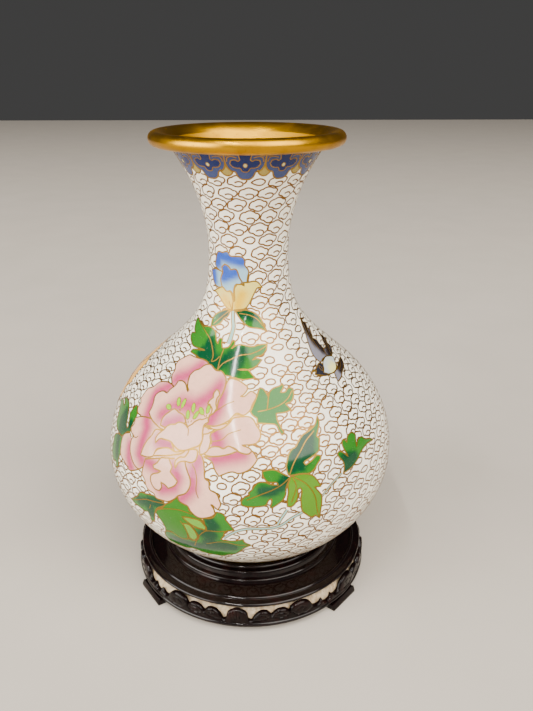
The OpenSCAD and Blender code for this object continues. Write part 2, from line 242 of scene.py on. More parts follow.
# ---------------------------------------------------------------- collecting and making meshes
class Stock:
    """Faces of one piece, added bit by bit, each corner with its own enamel colour."""

    def __init__(self):
        self.places = []
        self.faces = []
        self.tints = []
        self.count = 0

    def add(self, places, faces, tint):
        places = np.asarray(places, float)
        tint = np.broadcast_to(np.asarray(tint, float), (len(places), 3))
        self.places.append(places)
        self.tints.append(tint)
        self.faces += [[self.count + int(v) for v in face] for face in faces]
        self.count += len(places)

    def make(self, name, material, body, nodes=(), slot=None, sharp=40):
        mesh = bpy.data.meshes.new(name)
        mesh.from_pydata((np.vstack(self.places) * MM).tolist(), [], self.faces)
        tint = mesh.color_attributes.new("tint", "FLOAT_COLOR", "POINT")
        rgba = np.column_stack([np.vstack(self.tints), np.ones(self.count)])
        tint.data.foreach_set("color", rgba.astype(np.float32).ravel())
        piece = bpy.data.objects.new(name, mesh)
        bpy.context.collection.objects.link(piece)
        return settle(piece, material, body, nodes, sharp)


def only(piece):
    """Selects this piece and nothing else."""
    if bpy.context.mode != "OBJECT":
        bpy.ops.object.mode_set(mode="OBJECT")
    bpy.ops.object.select_all(action="DESELECT")
    piece.select_set(True)
    bpy.context.view_layer.objects.active = piece


def settle(piece, material, body, nodes=(), sharp=40):
    """Gives a finished mesh its shading, its material and its place among the bodies."""
    only(piece)
    bpy.ops.object.shade_smooth_by_angle(angle=math.radians(sharp))
    piece.data.materials.clear()
    piece.data.materials.append(material)
    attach(piece, body)
    if nodes:
        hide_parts(*nodes)
    return piece


def turned(name, profile, steps, material, body, nodes=(), sharp=35):
    """A turned piece: a ring of vertices set on the closed profile, then spun once round the axis."""
    bpy.ops.object.select_all(action="DESELECT")
    bpy.ops.mesh.primitive_circle_add(vertices=len(profile), radius=1.0)
    piece = bpy.context.active_object
    piece.name = name
    for vertex, (r, z) in zip(piece.data.vertices, profile):
        vertex.co = (r * MM, 0.0, z * MM)
    bpy.ops.object.mode_set(mode="EDIT")
    bpy.ops.mesh.select_all(action="SELECT")
    bpy.ops.mesh.spin(steps=steps, angle=2 * math.pi, center=(0, 0, 0), axis=(0, 0, 1))
    bpy.ops.mesh.select_all(action="SELECT")
    bpy.ops.mesh.remove_doubles(threshold=1e-6)
    bpy.ops.mesh.normals_make_consistent(inside=False)
    bpy.ops.object.mode_set(mode="OBJECT")
    return settle(piece, material, body, nodes, sharp)


def arc(centre, radius, start, end, steps):
    """Points on an arc, angles in degrees from the outward direction."""
    angles = np.radians(np.linspace(start, end, steps + 1))
    return [(centre[0] + radius * math.cos(a), centre[1] + radius * math.sin(a)) for a in angles]


def slab(stock, outline, place, top, thickness, step, tint, relief=None):
    """A closed plate on a curved face: the outline filled with a net of points, top, bottom and edge."""
    outline = np.asarray(outline, float)
    scale = np.array([math.radians(float(place.scale(outline[:, 1].mean()))), 1.0])
    flat = outline * scale
    low, high = flat.min(0), flat.max(0)
    xs = np.arange(low[0] + step / 2, high[0], step)
    ys = np.arange(low[1] + step / 2, high[1], step)
    net = np.array([(x, y) for y in ys for x in xs]).reshape(-1, 2)
    if len(net):
        net = net[inside(net, flat)]
    if len(net):
        near = np.linalg.norm(net[:, None] - flat[None], axis=2).min(1)
        net = net[near > 0.45 * step]
    points = np.vstack([flat, net]) if len(net) else flat
    found = delaunay_2d_cdt([Vector(p) for p in points], [], [list(range(len(flat)))], 1, 1e-4)
    spots = np.array([tuple(v) for v in found[0]])
    faces = [list(f) for f in found[2]]
    used = {}
    for face in faces:
        for i in range(3):
            edge = (face[i], face[(i + 1) % 3])
            used[edge] = used.get(edge, 0) + 1
    rim = [e for e in used if (e[1], e[0]) not in used]
    first = spots[faces[0]]
    u, v = first[1] - first[0], first[2] - first[0]
    if u[0] * v[1] - u[1] * v[0] < 0:
        faces = [f[::-1] for f in faces]
        rim = [e[::-1] for e in rim]
    spots = spots / scale
    raised = top + (relief(spots) if relief else 0.0)
    upper = place(spots, raised)
    lower = place(spots, top - thickness)
    n = len(spots)
    edge = [[a, a + n, b + n, b] for a, b in rim]
    colours = tint(spots) if callable(tint) else tint
    colours = np.broadcast_to(colours, (n, 3))
    stock.add(np.vstack([upper, lower]), faces + [[c + n for c in f[::-1]] for f in faces] + edge,
              np.vstack([colours, colours]))


def band(stock, points, width, level, tint, closed=False, depth=0.12):
    """A flat strip along the points. With a depth it also has sides that go down into the enamel."""
    points = np.asarray(points, float)
    if len(points) < 2:
        return
    centre = on_wall(points, level)
    normal = wall_normal(points)
    if closed:
        along = np.roll(centre, -1, axis=0) - np.roll(centre, 1, axis=0)
    else:
        along = np.gradient(centre, axis=0)
    side = np.cross(normal, along)
    side /= np.maximum(1e-9, np.linalg.norm(side, axis=1))[:, None]
    rails = [centre + side * width / 2, centre - side * width / 2]
    if depth:
        rails = [rails[0] - normal * depth] + rails + [rails[1] - normal * depth]
    n = len(points)
    faces = []
    for i in range(n if closed else n - 1):
        j = (i + 1) % n
        faces += [[k * n + n + i, k * n + n + j, k * n + j, k * n + i] for k in range(len(rails) - 1)]
    stock.add(np.vstack(rails), faces, tint)


class Face:
    """How a flat pattern is laid on a curved face: its radius at a height, and the places of its points."""

    def __init__(self, radius, places):
        self.scale = radius
        self.places = places

    def __call__(self, points, out):
        return self.places(points, out)


WALL = Face(wall_radius, on_wall)


# ---------------------------------------------------------------- materials
class Value:
    """A socket that can be used in arithmetic. Each operator adds a Math node."""

    def __init__(self, maker, socket):
        self.maker = maker
        self.socket = socket

    def maths(self, operation, *others, reflected=False):
        terms = list(others) + [self] if reflected else [self] + list(others)
        return self.maker.node("ShaderNodeMath", {"operation": operation}, dict(enumerate(terms)))

    def __add__(self, other):
        return self.maths("ADD", other)

    __radd__ = __add__

    def __sub__(self, other):
        return self.maths("SUBTRACT", other)

    def __rsub__(self, other):
        return self.maths("SUBTRACT", other, reflected=True)

    def __mul__(self, other):
        return self.maths("MULTIPLY", other)

    __rmul__ = __mul__

    def between(self, low, high):
        """0 below low, 1 above high, and smooth from one to the other."""
        settings = {"interpolation_type": "SMOOTHSTEP"}
        return self.maker.node("ShaderNodeMapRange", settings, {
            "Value": self, "From Min": low, "From Max": high})


class Finish:
    """One procedural material: makes nodes and joins them to the shader."""

    def __init__(self, name):
        self.material = bpy.data.materials.new(name)
        self.material.use_nodes = True
        self.tree = self.material.node_tree
        self.shader = self.tree.nodes["Principled BSDF"]
        self.place = self.node("ShaderNodeTexCoord", {}, {}, "Object")

    def node(self, kind, settings, values, output=0):
        made = self.tree.nodes.new(kind)
        for key, value in settings.items():
            setattr(made, key, value)
        for key, value in values.items():
            self.join(made.inputs[key], value)
        return Value(self, made.outputs[output])

    def join(self, socket, value):
        if isinstance(value, Value):
            self.tree.links.new(value.socket, socket)
        elif isinstance(value, (tuple, list, np.ndarray)):
            wanted = len(socket.default_value)
            socket.default_value = (tuple(float(v) for v in value) + (1.0,))[:wanted]
        else:
            socket.default_value = value

    def noise(self, size_mm, detail=2.0, stretch=(1, 1, 1), rough=0.5):
        place = self.place
        if stretch != (1, 1, 1):
            place = self.node("ShaderNodeMapping", {}, {"Vector": self.place, "Scale": stretch})
        return self.node("ShaderNodeTexNoise", {}, {
            "Vector": place, "Scale": 1 / (size_mm * MM), "Detail": detail, "Roughness": rough})

    def cells(self, size_mm, feature="F1"):
        return self.node("ShaderNodeTexVoronoi", {"feature": feature}, {
            "Vector": self.place, "Scale": 1 / (size_mm * MM)})

    def mix(self, factor, first, second):
        node = self.tree.nodes.new("ShaderNodeMix")
        node.data_type = "RGBA"
        self.join(node.inputs[0], factor)
        self.join(node.inputs[6], first)
        self.join(node.inputs[7], second)
        return Value(self, node.outputs[2])

    def tint(self):
        return self.node("ShaderNodeAttribute", {"attribute_name": "tint"}, {}, "Color")

    def bump(self, height, strength, distance_mm):
        return self.node("ShaderNodeBump", {}, {
            "Height": height, "Strength": strength, "Distance": distance_mm * MM})

    def done(self, **sockets):
        for name, value in sockets.items():
            self.join(self.shader.inputs[name.replace("_", " ")], value)
        return self.material


def enamel(name, colour=None, darker=0.82, pits=0.16):
    """Fired and polished enamel: a little mottled, finely pitted, under a glassy skin."""
    f = Finish(name)
    base = f.tint() if colour is None else colour
    cloudy = f.noise(2.2, 3.0)
    grains = f.noise(0.45, 2.0)
    shade = f.node("ShaderNodeMix", {"data_type": "RGBA", "blend_type": "MULTIPLY"}, {
        0: 1.0, 6: base, 7: (darker, darker, darker)}, 2)
    mottled = f.mix(cloudy.between(0.35, 0.75) * 0.35 + grains.between(0.52, 0.7) * 0.3, base, shade)
    pit = (1 - f.cells(0.55).between(0.08, 0.2)) * f.noise(1.6).between(0.45, 0.6)
    pitted = f.mix(pit * pits * 4, mottled, (0.22, 0.21, 0.20))
    height = f.noise(5.0, 1.0) * 0.5 - pit * 0.4
    return f.done(Base_Color=pitted, Roughness=0.08 + 0.05 * cloudy + 0.25 * pit,
                  Coat_Weight=0.05, Coat_Roughness=0.03, Specular_IOR_Level=0.27,
                  Normal=f.bump(height, 0.25, 0.08))


def gilt(name, colour, worn, rough, line_mm=0.25, scratches=0.15):
    """Gilded metal with faint turning lines, a few scratches and duller patches."""
    f = Finish(name)
    lines = f.noise(line_mm, 2.0, stretch=(0.04, 0.04, 1.0))
    patches = f.noise(9.0, 4.0)
    scratch = f.noise(0.5, 3.0, stretch=(1.0, 0.12, 0.5)).between(0.62, 0.7)
    base = f.mix(patches.between(0.4, 0.75) * 0.6 + scratch * 0.25, colour, worn)
    return f.done(Base_Color=base, Metallic=1.0,
                  Roughness=rough + 0.14 * patches.between(0.4, 0.8) + scratches * scratch,
                  Normal=f.bump(lines * 0.5 + scratch * 0.5, 0.12, 0.05))


def lacquered_wood(name, gloss):
    """Nearly black lacquer over reddish wood, glossy, thinner in worn patches, with duller pores."""
    f = Finish(name)
    grain = f.noise(1.1, 5.0, stretch=(1.0, 1.0, 0.12), rough=0.65)
    pores = f.noise(0.35, 2.0, stretch=(1.0, 1.0, 0.2)).between(0.6, 0.72)
    worn = f.noise(7.0, 4.0).between(0.55, 0.72)
    dark = f.mix(grain.between(0.4, 0.7), srgb("050202"), srgb("120606"))
    base = f.mix(worn * 0.35, dark, srgb("28100D"))
    return f.done(Base_Color=base, Roughness=0.1 + 0.1 * worn + 0.08 * pores,
                  Coat_Weight=0.0, Specular_IOR_Level=gloss,
                  Normal=f.bump(grain * 0.4 - pores * 0.5, 0.2, 0.1))


def bare_wood():
    f = Finish("bare_wood")
    grain = f.noise(1.6, 5.0, stretch=(1.0, 1.0, 0.1), rough=0.6)
    pores = f.noise(0.4, 2.0, stretch=(1.0, 1.0, 0.15)).between(0.58, 0.7)
    base = f.mix(grain.between(0.35, 0.7), srgb("B7A589"), srgb("8F7756"))
    return f.done(Base_Color=f.mix(pores * 0.6, base, srgb("4A3826")), Roughness=0.62 + 0.15 * pores,
                  Normal=f.bump(grain - pores, 0.4, 0.15))


def spun_copper():
    f = Finish("spun_copper")
    rings = f.noise(0.3, 2.0, stretch=(0.05, 0.05, 1.0))
    stain = f.noise(8.0, 4.0).between(0.4, 0.7)
    base = f.mix(stain, srgb("B87345"), srgb("6E4630"))
    return f.done(Base_Color=base, Metallic=1.0, Roughness=0.35 + 0.2 * stain,
                  Normal=f.bump(rings, 0.2, 0.05))


def pale_floor():
    f = Finish("studio_floor")
    base = f.mix(f.noise(60.0, 3.0), srgb("B2AAA0"), srgb("A9A197"))
    return f.done(Base_Color=base, Roughness=0.85)


ENAMEL = enamel("coloured_enamel")
WHITE = enamel("white_ground_enamel", srgb("F6EFDD"))
TURQUOISE = enamel("turquoise_counter_enamel", srgb("3FA8B4"))
GILT = gilt("polished_gilding", srgb("B88600"), srgb("966800"), 0.3)
# Gold for inside the mouth: rougher than the lip's gilding, and brighter as painted light falling into the
# mouth.
MOUTH_GILT_PAINTED_LIGHT = gilt("mouth_gilding_painted_light", srgb("C89400"), srgb("B48000"), 0.5)
WIRE = gilt("cloison_wire", srgb("86602F"), srgb("684620"), 0.42)
PICTURE_WIRE = gilt("picture_gilding", srgb("98752C"), srgb("76551E"), 0.4)
LACQUER = lacquered_wood("dark_lacquer", 0.28)
CARVED_LACQUER = lacquered_wood("carved_lacquer", 0.13)
PALE_WOOD = bare_wood()
COPPER = spun_copper()


# ---------------------------------------------------------------- the pictures' parts
def fill(name, outline, light, dark, shade, reach, edge):
    return {"name": name, "outline": outline, "light": srgb(light), "dark": srgb(dark),
            "shade": shade, "reach": reach, "edge": edge}


def petal(name, outline, shade=(), reach=6.0):
    """Pale pink, deepening to rose along its shade line."""
    return fill(name, outline, "D9A892", "A93A62", shade, reach, 0.0)


def leaf(name, outline, shade=(), reach=3.4, light="26661A", dark="073A20"):
    """Bright green tips round a blue-green heart."""
    return fill(name, outline, light, dark, shade, reach, 0.45)


def bud_petal(name, outline, shade=(), reach=4.2):
    return fill(name, outline, "86A8B8", "2448A4", shade, reach, 0.25)


def calyx_part(name, outline, shade=()):
    return fill(name, outline, "CDBA60", "CFA30C", shade, 4.5, 0.0)


def bird_part(name, outline, shade=()):
    light, dark = {"body": ("A9B5B8", "D9D58A"), "head": ("22232C", "22232C")}.get(
        name, ("74727C", "1F1713"))
    return fill(name, outline, light, dark, shade, 3.4, 0.3)


def stem(width, line):
    return {"width": width, "line": line}


# The lists from LEFT_LEAF to STEMS, apart from later small changes, were converted and written out
# by a separate helper program. They are dense traced data and not a design: they have more points
# than their shapes need, and are to be redrawn by hand before anyone takes this file as an example.
# Each point is (degrees from the front, height above the foot in mm).
LEFT_LEAF = [
    leaf("up", [
        (-62, 76), (-65.5, 75.5), (-69.5, 76), (-73, 77.5), (-74, 80), (-77.5, 82.5), (-81, 84),
        (-77.5, 85.5), (-72, 85), (-72, 86), (-75.5, 86.5), (-75, 87.5), (-71, 88), (-67.5, 87.5),
        (-65, 85.5), (-63, 84), (-61.5, 81.5), (-60, 80.5), (-59.5, 81), (-60.5, 83), (-62, 85),
        (-63, 86), (-62, 88), (-61, 90), (-59.5, 89.5), (-58.5, 88.5), (-57, 87.5), (-57, 85.5),
        (-57, 83.5), (-57, 81.5), (-56.5, 80), (-58.5, 79.5), (-60, 78)],
        shade=[(-65, 77), (-67.5, 81), (-67, 84), (-61.5, 79.5), (-58.5, 82.5)]),
    leaf("low", [
        (-61.5, 75.5), (-64.5, 75.5), (-67, 74.5), (-69.5, 72.5), (-70, 68.5), (-70.5, 63.5), (-68, 61),
        (-64, 62.5), (-63.5, 60), (-61, 61.5), (-61, 65.5), (-60, 69), (-60, 72), (-60.5, 74)],
        shade=[(-65, 74), (-63.5, 66.5)]),
]
UPPER_LEAF = [
    leaf("leaf", [
        (-21.5, 109), (-30.5, 111), (-37.5, 111.5), (-42.5, 112), (-50, 112.5), (-49, 113.5),
        (-44, 114), (-37.5, 114.5), (-43, 114.5), (-51, 114.5), (-56.5, 115.5), (-62.5, 117),
        (-64, 118), (-59, 118.5), (-63.5, 119.5), (-69, 121.5), (-72, 123.5), (-61.5, 123), (-51, 122),
        (-46, 122.5), (-40.5, 122.5), (-35, 121.5), (-32.5, 120), (-30.5, 118.5), (-28, 117.5),
        (-28.5, 119), (-27.5, 119.5), (-25, 119.5), (-24.5, 118), (-23, 116.5), (-21.5, 116.5),
        (-18, 117), (-16.5, 118), (-14.5, 119.5), (-13, 119), (-13, 118), (-15, 116.5), (-12.5, 117.5),
        (-9.5, 118), (-5, 118), (0, 117.5), (3.5, 117.5), (9, 118), (15.5, 118), (13.5, 116),
        (9.5, 114.5), (5, 114), (2, 113), (5, 113.5), (9, 113), (4.5, 111), (-1.5, 110), (-8, 110),
        (-1.5, 110), (1.5, 108.5), (3.5, 107.5), (-2.5, 107), (-6, 107), (-10, 107.5), (-15, 108)],
        shade=[(-39.5, 113.5), (-31, 113), (-36.5, 117.5), (-28.5, 112), (-20.5, 111.5), (-14.5, 114),
        (-5.5, 115.5), (-10.5, 110)]),
]
UPPER_LEAF_LINES = [
    [(-28, 111.5), (-28.5, 113.5), (-32, 116), (-37.5, 118.5), (-44, 120), (-52.5, 121.5), (-65, 123)],
    [(-21.5, 116.5), (-22, 113), (-21.5, 109)],
    [(-21.5, 109.5), (-19, 111.5), (-14, 113), (-7.5, 114.5), (0.5, 115), (7.5, 116), (14.5, 117.5)],
    [(-28, 111.5), (-25.5, 112), (-23, 113.5)],
]
LOWER_LEAF = [
    leaf("left", [
        (-31.5, 59), (-34.5, 60), (-37, 60.5), (-41, 59.5), (-44.5, 58.5), (-46.5, 55.5), (-52, 50.5),
        (-49.5, 49.5), (-46, 49.5), (-43.5, 49), (-41.5, 50), (-41, 47.5), (-41, 44.5), (-39, 46),
        (-37.5, 51), (-36, 54.5), (-32.5, 57.5)],
        shade=[(-45.5, 53.5), (-33.5, 58.5), (-39.5, 57), (-39.5, 50)]),
    leaf("dark", [
        (-17, 56.5), (-13.5, 57.5), (-12, 60.5), (-10, 60), (-8.5, 58), (-9, 57.5), (-7.5, 55),
        (-6, 52), (-9, 51), (-10, 48), (-11, 46), (-9, 45.5), (-5, 46), (-3, 47), (-2.5, 45), (0, 43),
        (-2.5, 41), (-6, 36), (-9, 34.5), (-12, 32.5), (-16.5, 32.5), (-20.5, 33), (-24, 34.5),
        (-28.5, 32.5), (-33.5, 32.5), (-36.5, 33), (-36.5, 37.5), (-34.5, 42), (-29.5, 43.5),
        (-20.5, 51), (-16, 51)],
        shade=[(-14.5, 55.5), (-13, 53), (-17.5, 48), (-14, 48), (-17, 41.5), (-11, 42), (-7, 41),
        (-23.5, 38), (-32, 38)]),
    leaf("bright", [
        (-31.5, 59), (-29.5, 60.5), (-27, 64), (-25.5, 62), (-22.5, 61), (-22, 59), (-20.5, 58),
        (-18, 56.5), (-17, 54.5), (-16, 52), (-16, 50.5), (-18, 50.5), (-20.5, 51), (-22, 52),
        (-20.5, 49), (-19.5, 45.5), (-20.5, 43), (-22.5, 41.5), (-23.5, 42.5), (-27, 41), (-29.5, 42),
        (-31.5, 43.5), (-34.5, 42), (-34, 45), (-35, 48.5), (-37, 52), (-36, 54),
        (-33.5, 56)], light="2A640E"),
    leaf("lobe_a", [
        (-25, 55), (-21.5, 55.5), (-18, 55), (-16, 52), (-16.5, 50.5), (-19.5, 51),
        (-22.5, 52.5)], light="5F9028"),
    leaf("lobe_b", [
        (-25, 51.5), (-22.5, 51.5), (-20.5, 48.5), (-20, 45), (-21.5, 42.5), (-23.5, 43),
        (-24, 47)], light="5F9028"),
]
LOWER_LEAF_LINES = [
    [(-51, 50.5), (-41.5, 56.5), (-37.5, 57.5), (-31.5, 59)],
    [(-39, 55), (-40, 52.5)],
    [(-36, 54), (-31.5, 56.5), (-26, 58), (-21, 57.5)],
    [(-7, 51.5), (-12, 50.5), (-16, 50), (-19, 46.5), (-22.5, 38)],
    [(-1, 43), (-5, 43), (-10.5, 44.5), (-17, 41.5)],
    [(-24.5, 41.5), (-24, 46), (-24.5, 49.5), (-26, 52.5)],
]
PALE_LEAF = [
    leaf("leaf", [
        (3.5, 102), (4.5, 103.5), (5.5, 104.5), (7.5, 104), (9, 102.5), (9.5, 101.5), (10.5, 103),
        (13, 104), (17, 104.5), (19, 105), (19, 104), (16.5, 102.5), (19, 102.5), (21.5, 103.5),
        (24, 103), (23, 101), (21, 99.5), (17.5, 99), (19.5, 97), (16, 96.5), (12, 96.5), (12, 94.5),
        (13, 92), (14, 90.5), (13, 89.5), (12, 91), (11, 93), (8.5, 93.5), (3, 94), (3, 95.5),
        (1, 96.5), (0, 97.5)]),
]
PALE_LEAF_LINES = [
    [(3.5, 97.5), (9, 98), (15, 99), (19.5, 100.5), (23, 102.5)],
    [(8, 98), (9.5, 101.5)],
]
RIGHT_LEAF = [
    leaf("up", [
        (13.5, 75.5), (13, 78.5), (13.5, 80.5), (14.5, 83), (16, 84.5), (17.5, 85), (19, 86.5),
        (21.5, 88.5), (25, 89.5), (28.5, 91), (31, 93.5), (30.5, 91), (29, 89), (27.5, 87), (28.5, 86),
        (27.5, 83.5), (27, 82), (24, 80.5), (21, 79.5), (20, 79), (20.5, 78), (23, 79), (25.5, 80.5),
        (27, 80), (27, 79), (25, 77), (23.5, 75.5), (21.5, 74.5), (18, 75), (14.5, 75)],
        shade=[(15, 77.5), (16.5, 81), (19.5, 85), (24.5, 88), (23, 82.5), (18.5, 78)]),
    leaf("left", [
        (14, 74.5), (11, 76.5), (8.5, 78), (5.5, 78), (4, 77.5), (4.5, 75.5), (6, 73.5), (9, 73),
        (9.5, 72), (7, 72.5), (5, 73.5), (2.5, 73.5), (1, 72), (0.5, 71), (-1, 69.5), (-0.5, 68.5),
        (-2.5, 67.5), (-3.5, 65.5), (-3, 64), (-0.5, 63.5), (2.5, 63.5), (5, 64), (6, 66), (7, 66.5),
        (7, 65), (6.5, 63), (7, 62.5), (8.5, 63.5), (10.5, 65), (12, 67.5), (12.5, 71), (14, 74)],
        shade=[(12.5, 74), (11, 71.5), (7, 69.5), (4, 70)]),
    leaf("right", [
        (14, 74.5), (17, 75), (20.5, 74.5), (23, 73), (24, 71.5), (25, 69.5), (25.5, 68), (23, 68.5),
        (24.5, 66), (25.5, 64), (25.5, 60.5), (25, 56.5), (25, 53), (23, 55.5), (21.5, 55), (19.5, 57),
        (18, 59), (17.5, 62), (17.5, 65.5), (18, 68), (17.5, 69.5), (16.5, 69), (16.5, 66),
        (15.5, 63.5), (14, 62), (12.5, 62.5), (12.5, 65.5), (13, 68.5), (13, 71.5),
        (14, 74)], light="4A7810"),
]
RIGHT_LEAF_LINES = [
    [(14, 75.5), (16, 79.5), (19.5, 83.5), (22.5, 86.5), (27, 89)],
    [(14, 74.5), (11, 72), (7, 70), (3, 68.5), (-1.5, 66.5)],
    [(15, 74.5), (19, 71.5), (21.5, 68), (23, 64), (23.5, 59), (24.5, 54)],
    [(15, 74), (16, 71), (15.5, 68), (14, 64)],
]
SMALL_LEAF = [
    leaf("leaf", [
        (35.5, 70), (36.5, 72), (36.5, 74.5), (35, 77), (34.5, 78.5), (36, 79), (38, 77.5),
        (39.5, 75.5), (38.5, 78.5), (38, 81), (38.5, 82.5), (40, 82.5), (40.5, 81), (42, 83),
        (45, 83.5), (46.5, 82), (45.5, 79.5), (45, 77.5), (46.5, 79.5), (49.5, 80), (51, 78.5),
        (54.5, 77), (56.5, 75.5), (52, 76), (49, 75.5), (46.5, 74.5), (44.5, 73), (42, 71.5), (39, 70.5)],
        shade=[(37, 70.5), (40, 73), (42.5, 74.5), (37.5, 75.5)]),
]
BUD_LEAVES = [
    leaf("left", [
        (-22.5, 130.5), (-28, 130.5), (-34.5, 129.5), (-41, 128), (-44, 126), (-43, 123), (-37, 123.5),
        (-32, 125), (-29, 127), (-25, 128), (-23, 130)],
        shade=[(-24.5, 130.5), (-31.5, 128)]),
    leaf("right", [
        (-17, 130.5), (-12, 130.5), (-5, 131), (1.5, 130.5), (7.5, 129.5), (12, 128), (15, 125.5),
        (17.5, 122.5), (11.5, 123.5), (4, 124), (-1, 124.5), (-6.5, 126), (-11.5, 128)],
        shade=[(-13.5, 130), (-5, 129.5), (5, 128.5)]),
]
BUD_LEAVES_LINES = [
    [(-23.5, 130.5), (-33.5, 127), (-40.5, 124)],
    [(-11.5, 129.5), (-1, 129), (8, 127.5), (13.5, 125), (16.5, 123)],
]
BUD_CALYX = [
    calyx_part("left", [
        (-52.5, 137), (-44.5, 138.5), (-38, 139.5), (-31, 138), (-25.5, 138), (-23, 137),
        (-21.5, 135.5), (-20.5, 134), (-20.5, 130.5), (-26.5, 131), (-32.5, 132.5), (-39, 134.5),
        (-47.5, 136.5)],
        shade=[(-33, 135), (-24, 131.5)]),
    calyx_part("right", [
        (-20.5, 134), (-18.5, 134.5), (-19.5, 139.5), (-16, 141.5), (-9, 141.5), (-6.5, 141),
        (-7, 142.5), (-1.5, 142.5), (6, 143), (12, 142.5), (18, 140), (11.5, 140), (8, 138.5), (4, 136),
        (0, 133.5), (-5, 131.5), (-12, 131), (-20.5, 130.5)],
        shade=[(-9, 137), (-14, 132.5)]),
]
BUD_CALYX_LINES = [
    [(-20.5, 130.5), (-23, 132), (-26, 134)],
]
BUD = [
    bud_petal("left", [
        (-46.5, 139), (-54, 140), (-58.5, 142), (-63.5, 145.5), (-54.5, 146.5), (-47.5, 146.5),
        (-39, 146), (-41.5, 143.5), (-41, 141.5), (-38, 139.5)],
        shade=[(-59.5, 145.5), (-56.5, 141)]),
    bud_petal("top", [
        (-39, 146), (-49.5, 147), (-54.5, 148.5), (-52, 151), (-51, 152.5), (-46.5, 154.5),
        (-38.5, 154.5), (-34.5, 155), (-29.5, 155), (-26, 153.5), (-19.5, 153.5), (-12.5, 153.5),
        (-7.5, 153), (-5, 151.5), (-5.5, 150), (-2, 148.5), (0, 147), (-1.5, 145), (-2.5, 142.5),
        (-9, 142), (-13, 144.5), (-21, 144.5), (-32, 145.5)],
        shade=[(-49, 149.5), (-45.5, 153.5), (-29, 152.5), (-9, 151.5)]),
    bud_petal("inner", [
        (-38, 139.5), (-42, 142.5), (-41, 144), (-38.5, 146), (-40.5, 148), (-35.5, 149.5),
        (-29.5, 149), (-25, 147.5), (-20, 148), (-16.5, 147.5), (-14.5, 146), (-13, 144.5), (-9, 142.5),
        (-12, 141.5), (-17, 141.5), (-19.5, 140.5), (-20.5, 138.5), (-20, 134.5), (-22.5, 137.5),
        (-25.5, 138.5), (-31, 138)],
        shade=[(-35.5, 148), (-36.5, 144), (-19, 146.5)]),
]
